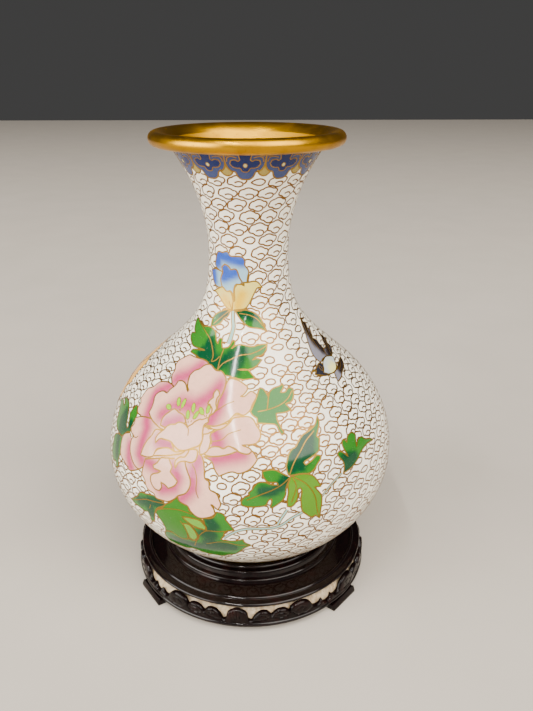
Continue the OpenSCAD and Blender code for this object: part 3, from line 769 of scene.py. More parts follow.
PEONY = [
    petal("heart", [
        (-44, 80), (-38, 86), (-30, 88), (-20, 92), (-15, 90), (-15, 84), (-18, 80), (-25, 76),
        (-36, 76)]),
    petal("top_back", [
        (-44.5, 101), (-49, 102.5), (-51.5, 104), (-52, 105.5), (-54.5, 107), (-54.5, 108.5),
        (-52, 110), (-48.5, 111.5), (-43.5, 111.5), (-39.5, 111.5), (-34, 111.5), (-29, 110.5),
        (-27.5, 107.5), (-32, 104.5), (-37.5, 102.5)],
        shade=[(-46, 103.5), (-40.5, 105.5), (-34, 109.5)]),
    petal("left_back", [
        (-44.5, 101), (-49.5, 101.5), (-53.5, 101), (-56.5, 100), (-58, 98), (-61, 96.5), (-61, 94.5),
        (-61, 92.5), (-59, 91.5), (-59, 89.5), (-57, 88), (-53, 88), (-46.5, 86.5), (-39, 87),
        (-35.5, 93.5), (-41.5, 99.5)],
        shade=[(-47.5, 100.5), (-53, 97), (-51, 92), (-49.5, 88)]),
    petal("far_left", [
        (-56.5, 80), (-60.5, 77.5), (-61, 74.5), (-60.5, 71.5), (-59.5, 68.5), (-56.5, 67.5),
        (-54, 66.5), (-51.5, 65.5), (-47.5, 67.5), (-45.5, 69), (-48.5, 69.5), (-51, 71.5), (-53, 74),
        (-54, 78)],
        shade=[(-54, 75.5), (-53, 70.5), (-50.5, 67)]),
    petal("left_low", [
        (-53, 88), (-57, 86), (-56, 84), (-57, 82), (-55.5, 80.5), (-53, 80), (-54, 78), (-53, 74),
        (-51, 71.5), (-49.5, 70), (-47.5, 69), (-45.5, 69), (-43.5, 71), (-39, 76), (-37, 85.5),
        (-39, 87), (-45.5, 89)],
        shade=[(-49.5, 88), (-47, 85.5), (-47, 81.5), (-47, 75), (-44.5, 73)]),
    petal("bottom_left", [
        (-43.5, 70.5), (-43.5, 67.5), (-42, 66), (-41, 63.5), (-39.5, 62), (-37, 61.5), (-36, 60),
        (-33.5, 60), (-30.5, 60.5), (-27.5, 63), (-26.5, 64.5), (-23.5, 66.5), (-22, 69.5), (-22, 72.5),
        (-23.5, 75.5), (-25, 79), (-29.5, 79), (-38, 76.5), (-43, 74.5)],
        shade=[(-42, 74), (-36.5, 73), (-28.5, 75.5), (-27, 72), (-28.5, 67.5), (-33.5, 65)]),
    petal("bottom_mid", [
        (-25, 79), (-23.5, 75.5), (-22, 72.5), (-22, 69.5), (-23.5, 66.5), (-26.5, 64.5), (-26, 62.5),
        (-24, 61.5), (-22.5, 61), (-21.5, 59), (-19.5, 57), (-17.5, 56.5), (-14, 58), (-12.5, 59.5),
        (-13, 62), (-14, 63.5), (-13.5, 63.5), (-11.5, 61.5), (-10.5, 64), (-11, 66), (-12, 68.5),
        (-14.5, 70), (-15, 73), (-16.5, 74), (-17, 77.5), (-18, 81), (-19.5, 82.5), (-25, 80.5)],
        shade=[(-19.5, 81), (-21.5, 74.5), (-21, 69), (-25, 63.5)]),
    petal("right_low", [
        (-18, 82), (-14, 82.5), (-9, 84), (-5, 85), (0.5, 85), (1.5, 84), (2.5, 82), (1, 80),
        (-0.5, 78.5), (-2.5, 77.5), (-4.5, 77), (-6.5, 77.5), (-8.5, 77), (-11.5, 75.5), (-13, 77.5),
        (-14.5, 80.5), (-16.5, 81.5)],
        shade=[(-14, 81.5), (-8, 83), (-3, 84)]),
    petal("right_top", [
        (-14.5, 103), (-13.5, 106), (-12, 107), (-9.5, 107), (-6, 106.5), (-1.5, 105), (-1.5, 104),
        (-3.5, 102.5), (-5, 102), (-3, 102), (0.5, 103.5), (3.5, 102.5), (3, 101.5), (1, 99.5), (0, 98),
        (-3, 96.5), (-6.5, 97), (-9, 95), (-12, 93.5), (-15.5, 92.5), (-19.5, 92.5), (-18.5, 96),
        (-16, 97.5), (-16, 100)],
        shade=[(-14.5, 101.5), (-15.5, 98), (-17.5, 94.5), (-18.5, 92.5)]),
    petal("right_mid", [
        (-18, 83), (-15.5, 85.5), (-16.5, 90), (-13, 92), (-10, 93.5), (-8, 96), (-4.5, 96), (-0.5, 96),
        (1.5, 95), (2.5, 93.5), (4, 91.5), (4, 89.5), (2, 87.5), (-3.5, 87), (-0.5, 86), (0.5, 85),
        (-1, 84), (-4, 84.5), (-6.5, 86), (-9, 86), (-11, 85.5), (-14.5, 85.5)],
        shade=[(-18.5, 92.5), (-15, 90.5), (-12.5, 87), (-15.5, 87)]),
    petal("sliver", [
        (-19.5, 92.5), (-15.5, 92.5), (-11.5, 93.5), (-9.5, 94), (-8, 96), (-6.5, 96.5), (-3, 96.5),
        (-4.5, 96), (-7.5, 95.5), (-9, 94), (-12, 92), (-15.5, 91.5), (-17.5, 92)]),
    petal("top_mid", [
        (-34.5, 101), (-37.5, 104), (-38.5, 106), (-37, 107.5), (-34, 108.5), (-31.5, 110),
        (-27.5, 110.5), (-24, 109.5), (-22, 109), (-18.5, 109), (-16, 108), (-14.5, 107), (-14, 105),
        (-14.5, 103), (-16, 100), (-16, 97.5), (-18.5, 96), (-19, 94.5), (-24.5, 91.5), (-33, 89.5),
        (-38.5, 87.5), (-42.5, 88), (-46.5, 89), (-50, 90.5), (-50, 92.5), (-51, 94.5), (-52, 95.5),
        (-52, 97), (-49.5, 98.5), (-46, 98.5), (-45.5, 100), (-44, 101.5), (-44, 103), (-41.5, 103.5),
        (-38, 103)],
        shade=[(-42, 92), (-35.5, 97), (-27.5, 97.5), (-22, 100.5), (-17, 104.5)]),
    petal("inner_back", [
        (-40.5, 88.5), (-41, 90.5), (-40.5, 92), (-39, 93.5), (-37, 95), (-34, 94.5), (-31, 94),
        (-29, 92.5), (-29, 91.5), (-33.5, 90.5), (-37.5, 88.5)],
        shade=[(-38, 89.5), (-32, 92)]),
    petal("stalk", [
        (-18.5, 103.5), (-17, 103), (-16, 102), (-17, 101), (-17, 99.5), (-16, 98), (-17, 96.5),
        (-18.5, 95.5), (-18, 97), (-18.5, 98), (-21, 99), (-20.5, 100), (-19, 101), (-19.5, 102)]),
    petal("left_inner", [
        (-39, 87), (-42, 86.5), (-43, 84), (-44.5, 81.5), (-45.5, 78.5), (-46, 75), (-42.5, 75.5),
        (-39.5, 77), (-38.5, 80), (-35, 81.5), (-30.5, 82), (-33, 84.5), (-38, 87.5)],
        shade=[(-32.5, 83), (-38.5, 83)]),
    petal("curl_left", [
        (-38.5, 73.5), (-37, 75), (-35.5, 77.5), (-34, 78), (-32, 78.5), (-31, 77), (-30, 75.5),
        (-30.5, 73.5), (-28, 71.5), (-27, 70.5), (-28, 68.5), (-30.5, 66.5), (-32, 67.5), (-34, 68),
        (-33.5, 66), (-34.5, 64), (-36.5, 64), (-38.5, 66), (-39, 68.5), (-38, 70), (-35.5, 71.5),
        (-34.5, 72.5), (-35.5, 72.5), (-38, 72.5)]),
    petal("strip", [
        (-39.5, 77), (-38.5, 79.5), (-36.5, 81), (-33, 82), (-29.5, 81.5), (-25.5, 83), (-27, 81.5),
        (-29.5, 80.5), (-33.5, 79), (-37, 78)]),
    petal("right_strip", [
        (-18, 83), (-15.5, 85.5), (-12.5, 86), (-10.5, 85.5), (-8.5, 86.5), (-5, 85), (-9, 83.5),
        (-14, 82.5), (-16.5, 82.5)]),
    petal("right_curl", [
        (-19.5, 82.5), (-20, 85), (-19.5, 87), (-19.5, 89.5), (-17.5, 90), (-15, 91.5), (-16.5, 89.5),
        (-16, 87.5), (-16.5, 84.5), (-18, 83)]),
    petal("cup", [
        (-40, 82), (-40.5, 84), (-39, 86.5), (-38, 87.5), (-37, 89), (-35.5, 90), (-33.5, 90.5),
        (-32, 91.5), (-29, 91.5), (-27, 90.5), (-27, 91), (-25.5, 92), (-24.5, 93), (-22.5, 94),
        (-21.5, 94), (-19, 95), (-18.5, 93.5), (-20, 92.5), (-20, 90), (-19.5, 87.5), (-20.5, 85.5),
        (-22.5, 84.5), (-25.5, 83), (-28.5, 82.5), (-31, 83.5), (-33, 84.5), (-36, 84.5), (-38.5, 84)]),
    petal("centre_curl", [
        (-28.5, 75.5), (-29, 78), (-27.5, 80), (-25.5, 80.5), (-24.5, 82), (-24, 83.5), (-21.5, 84),
        (-20.5, 83.5), (-20.5, 81.5), (-21, 80), (-22.5, 79), (-25, 79), (-27.5, 78)]),
]
PEONY_LINES = [
    [(-29, 92.5), (-26.5, 90), (-26, 88)],
    [(-22, 78.5), (-20.5, 76.5), (-19.5, 73), (-19.5, 68.5), (-18.5, 65.5)],
    [(-8, 100.5), (-11.5, 99.5), (-15.5, 97.5), (-18.5, 95.5)],
    [(-4, 92), (-9, 90.5), (-11.5, 88.5), (-15.5, 87.5)],
    [(-54.5, 79.5), (-51.5, 80), (-50.5, 81)],
    [(-34.5, 101), (-34, 101.5), (-36, 102.5)],
    [(-61, 66), (-56, 66.5), (-52, 66.5)],
]
BIRD = [
    bird_part("wing", [
        (73.5, 124.5), (70.5, 123), (70, 121), (73.5, 120.5), (69.5, 118.5), (72.5, 117.5),
        (69.5, 116.5), (65, 115), (68.5, 113.5), (67, 112), (68, 111.5), (67, 110.5), (66.5, 109.5),
        (63.5, 108), (57.5, 108), (53, 107.5), (51.5, 108.5), (51, 110.5), (53, 113), (56.5, 115.5),
        (59, 117), (63, 120), (67.5, 122.5)],
        shade=[(71.5, 124), (65, 117.5), (64, 113.5), (65, 110)]),
    bird_part("far_wing", [
        (85.5, 114), (84, 112.5), (85.5, 111), (79.5, 110), (80, 108.5), (74, 107.5), (70, 107),
        (64.5, 107.5), (64, 108.5), (66.5, 110), (72, 110), (75, 111.5), (80, 112.5)],
        shade=[(85.5, 114), (78, 110.5), (67.5, 107.5)]),
    bird_part("tail", [
        (77.5, 104.5), (76, 103.5), (70.5, 102), (64.5, 101.5), (59.5, 100.5), (54, 100), (55.5, 101.5),
        (57.5, 103), (62, 103), (67.5, 104), (72.5, 104)],
        shade=[(77, 104.5), (68.5, 103), (64, 102)]),
    bird_part("body", [
        (61, 108), (65, 107.5), (69, 106.5), (68.5, 106), (65, 104.5), (62.5, 103.5), (59, 103),
        (55, 103), (51.5, 103.5), (49.5, 104), (50, 105), (53, 106.5), (56, 107.5)],
        shade=[(61.5, 104), (57, 103.5)]),
    bird_part("head", [
        (52.5, 107.5), (50, 107.5), (47.5, 107), (45, 106.5), (40.5, 106), (45, 106), (42, 105),
        (44.5, 104.5), (48.5, 103.5), (53, 103), (49, 104.5), (51.5, 105.5), (53, 106.5)]),
]
BIRD_LINES = [
    [(69.5, 123), (64, 118), (60, 114.5), (58.5, 112)],
    [(72.5, 120.5), (65.5, 117), (61.5, 114)],
    [(71.5, 118), (63.5, 114.5), (61.5, 111)],
    [(79.5, 111.5), (74.5, 109.5), (69.5, 107.5)],
    [(85, 112), (73.5, 108.5)],
    [(74, 104.5), (67.5, 103), (62.5, 102.5)],
]
STAMENS = [
    ((-38, 94.5), (-40.5, 95)), ((-34, 95), (-36.5, 97.5)), ((-33.5, 95), (-33.5, 97.5)), ((-26.5, 95),
    (-27.5, 97)), ((-27.5, 92), (-29, 94.5)), ((-26.5, 92.5), (-25, 95)), ((-20.5, 95), (-23, 96.5)),
    ((-20, 95), (-20, 97.5))
]
STEMS = [
    stem(1.6, [(-19.5, 130.5), (-18, 126.5), (-16.5, 124), (-17.5, 120.5), (-18.5, 118)]),
    stem(1.2, [(-10, 47), (-6.5, 50.5), (-3, 52.5), (0.5, 53), (4.5, 52.8), (7.5, 52.8), (10.5, 53.8),
               (14, 56.5), (18, 58.5)]),
    stem(1.2, [(9, 54.2), (10.5, 57.5), (12.5, 61)]),
    stem(0.8, [(25.5, 63.5), (30, 67.5), (35, 70.5)]),
]


BIRD_EYE = (49.5, 106.0)
YELLOW_CENTRE = (-108, 90)
YELLOW_PETALS = 7


def yellow_petals():
    """A flower with seven round petals, set round its centre on the side of the belly."""
    across, up = YELLOW_CENTRE
    petals = []
    for i in range(YELLOW_PETALS):
        middle = 360 / YELLOW_PETALS * i + 18
        shape = []
        for a, reach in ((-30, 0.42), (-27, 0.8), (-14, 0.98), (0, 0.93), (14, 0.98), (27, 0.8), (30, 0.42),
                         (0, 0.2)):
            turn = math.radians(middle + a)
            shape.append((across + 26 * reach * math.cos(turn), up + 18 * reach * math.sin(turn)))
        turn = math.radians(middle)
        shade = [(across + 8 * math.cos(turn), up + 6 * math.sin(turn))]
        petals.append(fill("petal", shape, "EBA60E", "BE6606", shade, 9.0, 0.0))
    ring = oval(YELLOW_CENTRE, 6.5, 5, 12)
    petals.append(fill("eye", ring, "8FA83A", "4C7A2E", [YELLOW_CENTRE], 4.0, 0.0))
    return petals


# Pictures from the back to the front: piece name, fills, extra lines, CAD nodes, slot
PICTURES = [
    ("yellow_flower", yellow_petals(), [], ["yellow_flower"], "yellow_enamel"),
    ("left_leaf", LEFT_LEAF, [], ["left_leaf"], "green_enamel"),
    ("lower_leaf", LOWER_LEAF, LOWER_LEAF_LINES, ["lower_leaf"], "green_enamel"),
    ("right_leaf", RIGHT_LEAF, RIGHT_LEAF_LINES, ["right_leaf"], "green_enamel"),
    ("small_leaf", SMALL_LEAF, [], ["small_leaf"], "green_enamel"),
    ("pale_leaf", PALE_LEAF, PALE_LEAF_LINES, ["pale_leaf"], "green_enamel"),
    ("upper_leaf", UPPER_LEAF, UPPER_LEAF_LINES, ["upper_leaf"], "green_enamel"),
    ("bud_leaves", BUD_LEAVES, BUD_LEAVES_LINES, ["bud_leaves"], "green_enamel"),
    ("bud", BUD, [], ["bud"], "blue_enamel"),
    ("bud_calyx", BUD_CALYX, BUD_CALYX_LINES, ["bud_calyx"], "yellow_enamel"),
    ("peony", PEONY, PEONY_LINES, ["peony", "peony_heart"], "pink_enamel"),
    ("bird", BIRD, BIRD_LINES, ["bird"], "slate_enamel"),
]


def plan_pictures():
    """Smooths every outline and gives each fill a level above the fills that it lies over."""
    placed = []
    for _, fills, *_ in PICTURES:
        for part in fills:
            part["curve"] = smooth_line(part["outline"], True)
            under = [p["level"] for p in placed
                     if inside(part["curve"], p["curve"]).any() or inside(p["curve"], part["curve"]).any()]
            part["level"] = 1 + max(under, default=0)
            placed.append(part)
    return placed


FILLS = plan_pictures()
STEM_CURVES = [smooth_line(part["line"], False) for part in STEMS]
STEM_WIDTHS = [part["width"] for part in STEMS]


def highest_level(points):
    """The level of the topmost fill at each point, 0 on the white ground."""
    top = np.zeros(len(points))
    for part in FILLS:
        top = np.maximum(top, part["level"] * inside(points, part["curve"]))
    return top


def surface_over(points):
    """Height in mm of the topmost fill under a line, over the bare wall."""
    return float(highest_level(np.asarray(points)).max()) * LAYER


def shaded(part):
    def tint(spots):
        if len(part["shade"]) == 0:
            return np.tile(part["light"], (len(spots), 1))
        near = distance_to(spots, part["shade"]) / part["reach"]
        depth = 1 - smoothstep(part["edge"], 1.0, near)
        return part["light"] + depth[:, None] * (part["dark"] - part["light"])
    return tint


def visible_runs(points, hidden, closed):
    """The stretches of a line that aren't hidden, each as its own list of points."""
    if closed and not hidden.any():
        return [(points, True)]
    if closed and hidden.any():
        first = int(np.argmax(hidden))
        points = np.roll(points, -first, axis=0)
        hidden = np.roll(hidden, -first)
    runs = []
    current = []
    for point, gone in zip(points, hidden):
        if gone:
            if len(current) > 1:
                runs.append((np.array(current), False))
            current = []
        else:
            current.append(point)
    if len(current) > 1:
        runs.append((np.array(current), False))
    return runs


def make_pictures():
    net = 1.3
    done = 0
    for name, fills, lines, nodes, slot in PICTURES:
        enamels = Stock()
        wires = Stock()
        for part in fills:
            done += 1
            level = part["level"] * LAYER
            slab(enamels, part["curve"], WALL, level, level + 0.15, net, shaded(part))
            hidden = np.zeros(len(part["curve"]), bool)
            for later in FILLS[done:]:
                if later["level"] > part["level"]:
                    hidden |= inside(part["curve"], later["curve"])
            for run, closed in visible_runs(part["curve"], hidden, True):
                band(wires, run, LINE_W, level + PROUD, GOLD_TINT, closed)
        for line in lines:
            curve = smooth_line(line, False)
            band(wires, curve, VEIN_W, surface_over(curve) + PROUD, GOLD_TINT)
        if name == "peony":
            make_stamens(enamels, wires)
        if name == "bird":
            eye = oval(BIRD_EYE, 1.0, 0.9, 10)
            band(wires, eye, VEIN_W, surface_over(eye) + PROUD, GOLD_TINT, True)
        enamels.make(name, ENAMEL, "vase", nodes, slot)
        wires.make(name + "_wires", PICTURE_WIRE, "vase", (), "gilt", 50)


def make_stamens(enamels, wires):
    """Yellow-green drops in the heart of the flower, each on a short stalk."""
    for base, head in STAMENS:
        scale = wall_scale(head[1])
        lean = (np.array(head) - base) * scale
        lean /= np.linalg.norm(lean)
        across = np.array([lean[1], -lean[0]])
        drop = [(np.array(head) * scale + lean * 1.6 * math.cos(a) + across * 0.85 * math.sin(a)) / scale
                for a in np.linspace(0, 2 * math.pi, 13)[:-1]]
        level = surface_over([base, head])
        slab(enamels, drop, WALL, level + 0.02, level + 0.1, 1.0, srgb("7DB400"))
        band(wires, drop, DOT_WIRE_W, level + 0.02 + PROUD, GOLD_TINT, True)
        band(wires, [base, head], 0.45, level + PROUD * 0.5, GOLD_TINT)


def beside(curve, reach):
    """The curve moved sideways by "reach" mm on the wall."""
    scale = wall_scale(curve[:, 1].mean())
    along = np.gradient(curve * scale, axis=0)
    along /= np.linalg.norm(along, axis=1)[:, None]
    return (curve * scale + reach * np.column_stack([-along[:, 1], along[:, 0]])) / scale


def make_stems():
    enamels = Stock()
    wires = Stock()
    for curve, width in zip(STEM_CURVES, STEM_WIDTHS):
        level = float(highest_level(curve[2:-2]).max() + 1) * LAYER
        if width > 0.7:
            band(enamels, curve, width, level, srgb("8DB0A6"))
            for hand in (-1, 1):
                band(wires, beside(curve, hand * width / 2), VEIN_W, level + PROUD, GOLD_TINT)
        else:
            band(wires, curve, VEIN_W, level + PROUD, GOLD_TINT)
    enamels.make("stems", ENAMEL, "vase", ["stems"], "stem_enamel")
    wires.make("stem_wires", PICTURE_WIRE, "vase", (), "gilt", 50)


# ---------------------------------------------------------------- the cloud ground
CLOUD = [(0.62, -0.4), (0.88, -0.16), (1.0, 0.14), (0.86, 0.4), (0.58, 0.47), (0.4, 0.62), (0.05, 0.74),
         (-0.27, 0.66), (-0.44, 0.54), (-0.72, 0.46), (-0.92, 0.22), (-0.96, 0.0), (-1.02, -0.2),
         (-0.84, -0.42),
         (-0.58, -0.45), (-0.36, -0.64), (-0.02, -0.76), (0.34, -0.68), (0.54, -0.4), (0.38, -0.14),
         (0.02, -0.08), (-0.3, -0.22)]
DROP = [(-0.8, 0.05), (-0.35, 0.34), (0.2, 0.4), (0.62, 0.05), (0.25, -0.36), (-0.3, -0.28), (-0.8, 0.05)]
RING = [(0.1, -0.4), (0.48, -0.25), (0.5, 0.2), (0.05, 0.42), (-0.42, 0.2), (-0.4, -0.25), (0.1, -0.4)]


def even_points(points, count):
    """The same curve as a number of points at even steps."""
    points = np.asarray(points, float)
    steps = np.linalg.norm(np.diff(points, axis=0), axis=1)
    along = np.concatenate([[0], np.cumsum(steps)])
    at = np.linspace(0, along[-1], count)
    return np.column_stack([np.interp(at, along, points[:, 0]), np.interp(at, along, points[:, 1])])


def flat_curve(points, count):
    p = np.asarray(points, float)
    curve = []
    for i in range(len(p) - 1):
        a, b, c, d = p[max(i - 1, 0)], p[i], p[i + 1], p[min(i + 2, len(p) - 1)]
        for t in np.arange(5) / 5:
            curve.append(0.5 * (2 * b + (c - a) * t + (2 * a - 5 * b + 4 * c - d) * t * t
                                + (3 * b - a - 3 * c + d) * t ** 3))
    curve.append(p[-1])
    return even_points(curve, count)


CLOUD_SEED = 11
CLOUD_WIDE = 7.9                                  # spacing of the clouds round the belly
CLOUD_TALL = 4.8                                  # spacing of their rows
DROP_SHARE = 0.05                                 # how many of the clouds are drops
RING_SHARE = 0.03                                 # and how many are rings


def make_clouds():
    chance = random.Random(CLOUD_SEED)
    cloud = flat_curve(CLOUD, 46)
    drop = flat_curve(DROP, 18)
    ring = flat_curve(RING, 18)
    step = np.hypot(np.diff(OUTLINE[:, 0]), np.diff(OUTLINE[:, 1]))
    run = np.concatenate([[0], np.cumsum(step)])
    end = float(np.interp(COLLAR_LOW - 0.5, OUTLINE[:, 0], run))
    parts = {"belly": Stock(), "neck": Stock()}
    at = 4.0
    row = 0
    while at < end:
        height = float(np.interp(at, run, OUTLINE[:, 0]))
        slant = float(np.interp(height, OUTLINE[:, 0], OUTLINE_SLOPE))
        share = float(smoothstep(88.0, 135.0, height))
        width = CLOUD_WIDE + 0.8 * share
        tall = CLOUD_TALL + 0.5 * share
        radius = float(wall_radius(height))
        count = max(6, round(2 * math.pi * radius / width))
        for i in range(count):
            pick = chance.random()
            shape = drop if pick < DROP_SHARE else ring if pick < DROP_SHARE + RING_SHARE else cloud
            turn = math.radians(chance.uniform(-4, 13))
            size = 0.48 * width * chance.uniform(0.88, 1.04)
            lift = 0.535 * tall / 0.75 * chance.uniform(0.9, 1.06)
            x = shape[:, 0] * math.cos(turn) * size - shape[:, 1] * math.sin(turn) * size
            y = shape[:, 0] * math.sin(turn) * lift + shape[:, 1] * math.cos(turn) * lift
            middle = 360 / count * (i + 0.5 * (row % 2)) + math.degrees(chance.uniform(-0.6, 0.6) / radius)
            middle = (middle + 180) % 360 - 180
            rise = 1 / math.sqrt(1 + slant * slant)
            heights = height + (y + chance.uniform(-0.35, 0.35)) * rise
            line = np.column_stack([middle + np.degrees(x / wall_radius(heights)), heights])
            hidden = covered(line)
            if hidden.all():
                continue
            stock = parts["belly" if height < SHOULDER_H + 6 else "neck"]
            for piece, _ in visible_runs(line, hidden, False):
                if len(piece) > 3:
                    band(stock, piece, CLOUD_W, PROUD, GOLD_TINT, False, 0)
        at += tall
        row += 1
    for place, stock in parts.items():
        stock.make(place + "_cloud_wires", WIRE, "vase", (), "copper", 50)


FILL_BOXES = [(part["curve"].min(0), part["curve"].max(0), part["curve"]) for part in FILLS]


def covered(line):
    """True for each point that lies under a picture."""
    hidden = line[:, 1] > COLLAR_LOW + 8
    low, high = line.min(0), line.max(0)
    for floor, ceiling, curve in FILL_BOXES:
        for shift in (0, -360, 360):
            if high[0] + shift > floor[0] and low[0] + shift < ceiling[0] \
                    and high[1] > floor[1] and low[1] < ceiling[1]:
                hidden = hidden | inside(line + [shift, 0], curve)
    for curve, width in zip(STEM_CURVES, STEM_WIDTHS):
        if high[0] > curve[:, 0].min() - 5 and low[0] < curve[:, 0].max() + 5:
            hidden = hidden | (distance_to(line, curve) < width / 2 + 0.2)
    for curve in COLLAR_CURVES:
        if high[1] > COLLAR_LOW - 1:
            for shift in (0, 360):
                hidden = hidden | inside(line + [shift, 0], curve)
    return hidden


# ---------------------------------------------------------------- the collar
LAPPETS = 12
LAPPET_TURN = -1.8
COLLAR_LOW = MOUTH_H - 12.0
COLLAR_TOP = MOUTH_H - 2.0                        # the lip hides the wall above this height
COLLAR_PITCH = 180 / LAPPETS
DISC_R = 2.6
DOT_R = 0.8
LAPPET_SIDE = [(0.0, 0.0), (0.22, 0.01), (0.42, 0.12), (0.54, 0.3), (0.72, 0.34), (0.9, 0.46), (0.99, 0.66),
               (0.99, 1.15)]
HEART_SIDE = [(0.0, 0.31), (0.16, 0.34), (0.26, 0.46), (0.45, 0.47), (0.64, 0.52), (0.76, 0.64), (0.7, 0.77),
              (0.5, 0.8), (0.34, 0.74), (0.25, 0.8), (0.3, 0.98), (0.6, 1.0), (0.9, 0.94), (0.9, 1.15)]
CURL = [(0.9, 0.72), (0.84, 0.88), (0.62, 0.93), (0.4, 0.88)]


def on_collar(middle, x, y):
    """A place given as shares of half a lappet's width and of the collar's height."""
    return (middle + x * COLLAR_PITCH, COLLAR_LOW + y * (COLLAR_TOP - COLLAR_LOW))


def collar_shape(side, middle):
    """A shape with two equal halves, from the half that is given as shares of a lappet."""
    whole = [(-x, y) for x, y in side[:0:-1]] + list(side)
    return [on_collar(middle, x, y) for x, y in whole]


def lappet_middles():
    return [(LAPPET_TURN + 2 * COLLAR_PITCH * i + 180) % 360 - 180 for i in range(LAPPETS)]


def disc_shape(middle):
    """A half disc hanging in the notch between two lappets."""
    height = COLLAR_LOW + 4.0
    half = math.degrees(DISC_R / wall_radius(height))
    low = [(middle + half * math.cos(a), height + DISC_R * math.sin(a))
           for a in np.linspace(math.pi, 2 * math.pi, 11)]
    return low + [(middle + half, COLLAR_LOW + 8), (middle - half, COLLAR_LOW + 8)]


COLLAR_CURVES = [smooth_line(collar_shape(LAPPET_SIDE, m), True) for m in lappet_middles()]
COLLAR_CURVES += [np.array(disc_shape(m + COLLAR_PITCH)) for m in lappet_middles()]


def make_collar():
    lappets = Stock()
    discs = Stock()
    wires = Stock()
    net = 1.6
    for m in lappet_middles():
        disc = np.array(disc_shape(m + COLLAR_PITCH))
        # The discs' yellow enamel, darkened as painted shade from the lip that overhangs the collar.
        slab(discs, disc, WALL, 0.02, 0.17, net, srgb("9C8844"))
        band(wires, disc[:11], LINE_W, 0.02 + PROUD, GOLD_TINT)
        border = smooth_line(collar_shape(LAPPET_SIDE, m), True)
        # The lappets' blue border and dark blue heart, both darkened as painted shade from the lip above.
        slab(lappets, border, WALL, 0.05, 0.2, net, srgb("343F68"))
        band(wires, border, LINE_W, 0.05 + PROUD, GOLD_TINT, True)
        heart = smooth_line(collar_shape(HEART_SIDE, m), True)
        slab(lappets, heart, WALL, 0.08, 0.2, net, srgb("071B52"))
        band(wires, heart, VEIN_W, 0.08 + PROUD, GOLD_TINT, True)
        for hand in (-1, 1):
            curl = [on_collar(m, hand * x, y) for x, y in CURL]
            band(wires, smooth_line(curl, False), VEIN_W, 0.08 + PROUD, GOLD_TINT)
        height = COLLAR_LOW + 0.57 * (COLLAR_TOP - COLLAR_LOW)
        dot = [(m + math.degrees(DOT_R * math.cos(a) / wall_radius(height)), height + DOT_R * math.sin(a))
               for a in np.linspace(0, 2 * math.pi, 13)[:-1]]
        slab(lappets, dot, WALL, 0.11, 0.2, net, srgb("C9BE88"))
        band(wires, dot, DOT_WIRE_W, 0.11 + PROUD, GOLD_TINT, True)
    lappets.make("collar_lappets", ENAMEL, "vase", ["collar_lappets"], "blue_enamel")
    discs.make("collar_discs", ENAMEL, "vase", ["collar_discs"], "yellow_enamel")
    wires.make("collar_wires", PICTURE_WIRE, "vase", (), "gilt", 50)


# ---------------------------------------------------------------- the vase's turned parts
def make_vase():
    steps = 192
    outside = [(r, h + VASE_Z) for h, r in OUTLINE[::2]]
    inner = [(r - ENAMEL_T, z) for r, z in outside[::-1]]
    turned("white_ground", outside + inner, steps, WHITE, "vase", ["ground_belly", "ground_neck"],
           40)
    centre = (LIP_CENTRE, VASE_Z + VASE_H - LIP_T / 2)
    mouth = (MOUTH_R, VASE_Z + MOUTH_H)
    lip = [mouth] + arc(centre, LIP_T / 2, -100, 112, 36)
    lip += bezier([lip[-1], (LIP_CENTRE - 3.4, lip[-1][1] - 0.7), (MOUTH_R - 0.4, mouth[1] + 1.0),
                   (MOUTH_R - ENAMEL_T - COPPER_T - 0.1, mouth[1] - 1.2)], np.linspace(0, 1, 9)[1:]).tolist()
    turned("lip_ring", lip, steps, GILT, "vase", ["lip_ring"], 50)
    make_pictures()
    make_stems()
    make_collar()
    make_clouds()


# ---------------------------------------------------------------- the stand
def around(radius):
    """Lays (degrees, height) points on a standing cylinder."""
    def places(points, out):
        points = np.asarray(points, float).reshape(-1, 2)
        angle = np.radians(points[:, 0])
        r = radius + np.asarray(out)
        return np.column_stack([r * np.sin(angle), -r * np.cos(angle), points[:, 1]])
    return Face(lambda height: radius, places)


HALF_APRON = [(0, 1), (2, 0.9), (4.5, 0.66), (5.2, 0.24), (6.6, 0.12), (8, 0.45), (10, 0.72), (12, 0.8),
              (14, 0.74), (16, 0.44), (17.6, 0.68), (20, 0.8), (22.5, 0.76), (24.5, 0.52), (25.5, 0.8),
              (28, 0.97), (32, 0.97), (35, 0.74), (37, 0.32), (40, 0.26), (42, 0.48), (43, 0.18),
              (44.7, 0.14)]
APRON_LOW = RING_HIGH.z
APRON_STEPS = 46                                  # points along a panel's lower edge
APRON_H = box_mm("apron_front")[1].z - APRON_LOW


def apron_outline():
    top = [(-a, s) for a, s in HALF_APRON[:0:-1]] + HALF_APRON
    curve = smooth_line([(a, APRON_LOW + s * APRON_H) for a, s in top], False, 4, 70)
    left, right = curve[0][0], curve[-1][0]
    foot = [(a, APRON_LOW) for a in np.linspace(right, left, APRON_STEPS)]
    return np.vstack([curve, foot])


# grooves on one half of a panel, as (degrees from its middle, height over the base ring)
GROOVES = [
    [(5.8, 1.4), (8.5, 0.9), (13, 1.6), (15.6, 3.2)],
    [(16, 3.0), (19, 1.6), (23, 2.0), (24.6, 3.6)],
    [(36.5, 2.4), (33, 1.1), (28, 1.2), (25.4, 3.4)],
    [(8.5, 2.8), (10.5, 4.0), (13, 3.6)],
    [(27.5, 3.8), (30, 5.4), (32.5, 4.2), (31, 2.9)],
    [(18, 3.4), (20.5, 4.1), (22.5, 3.4)],
]


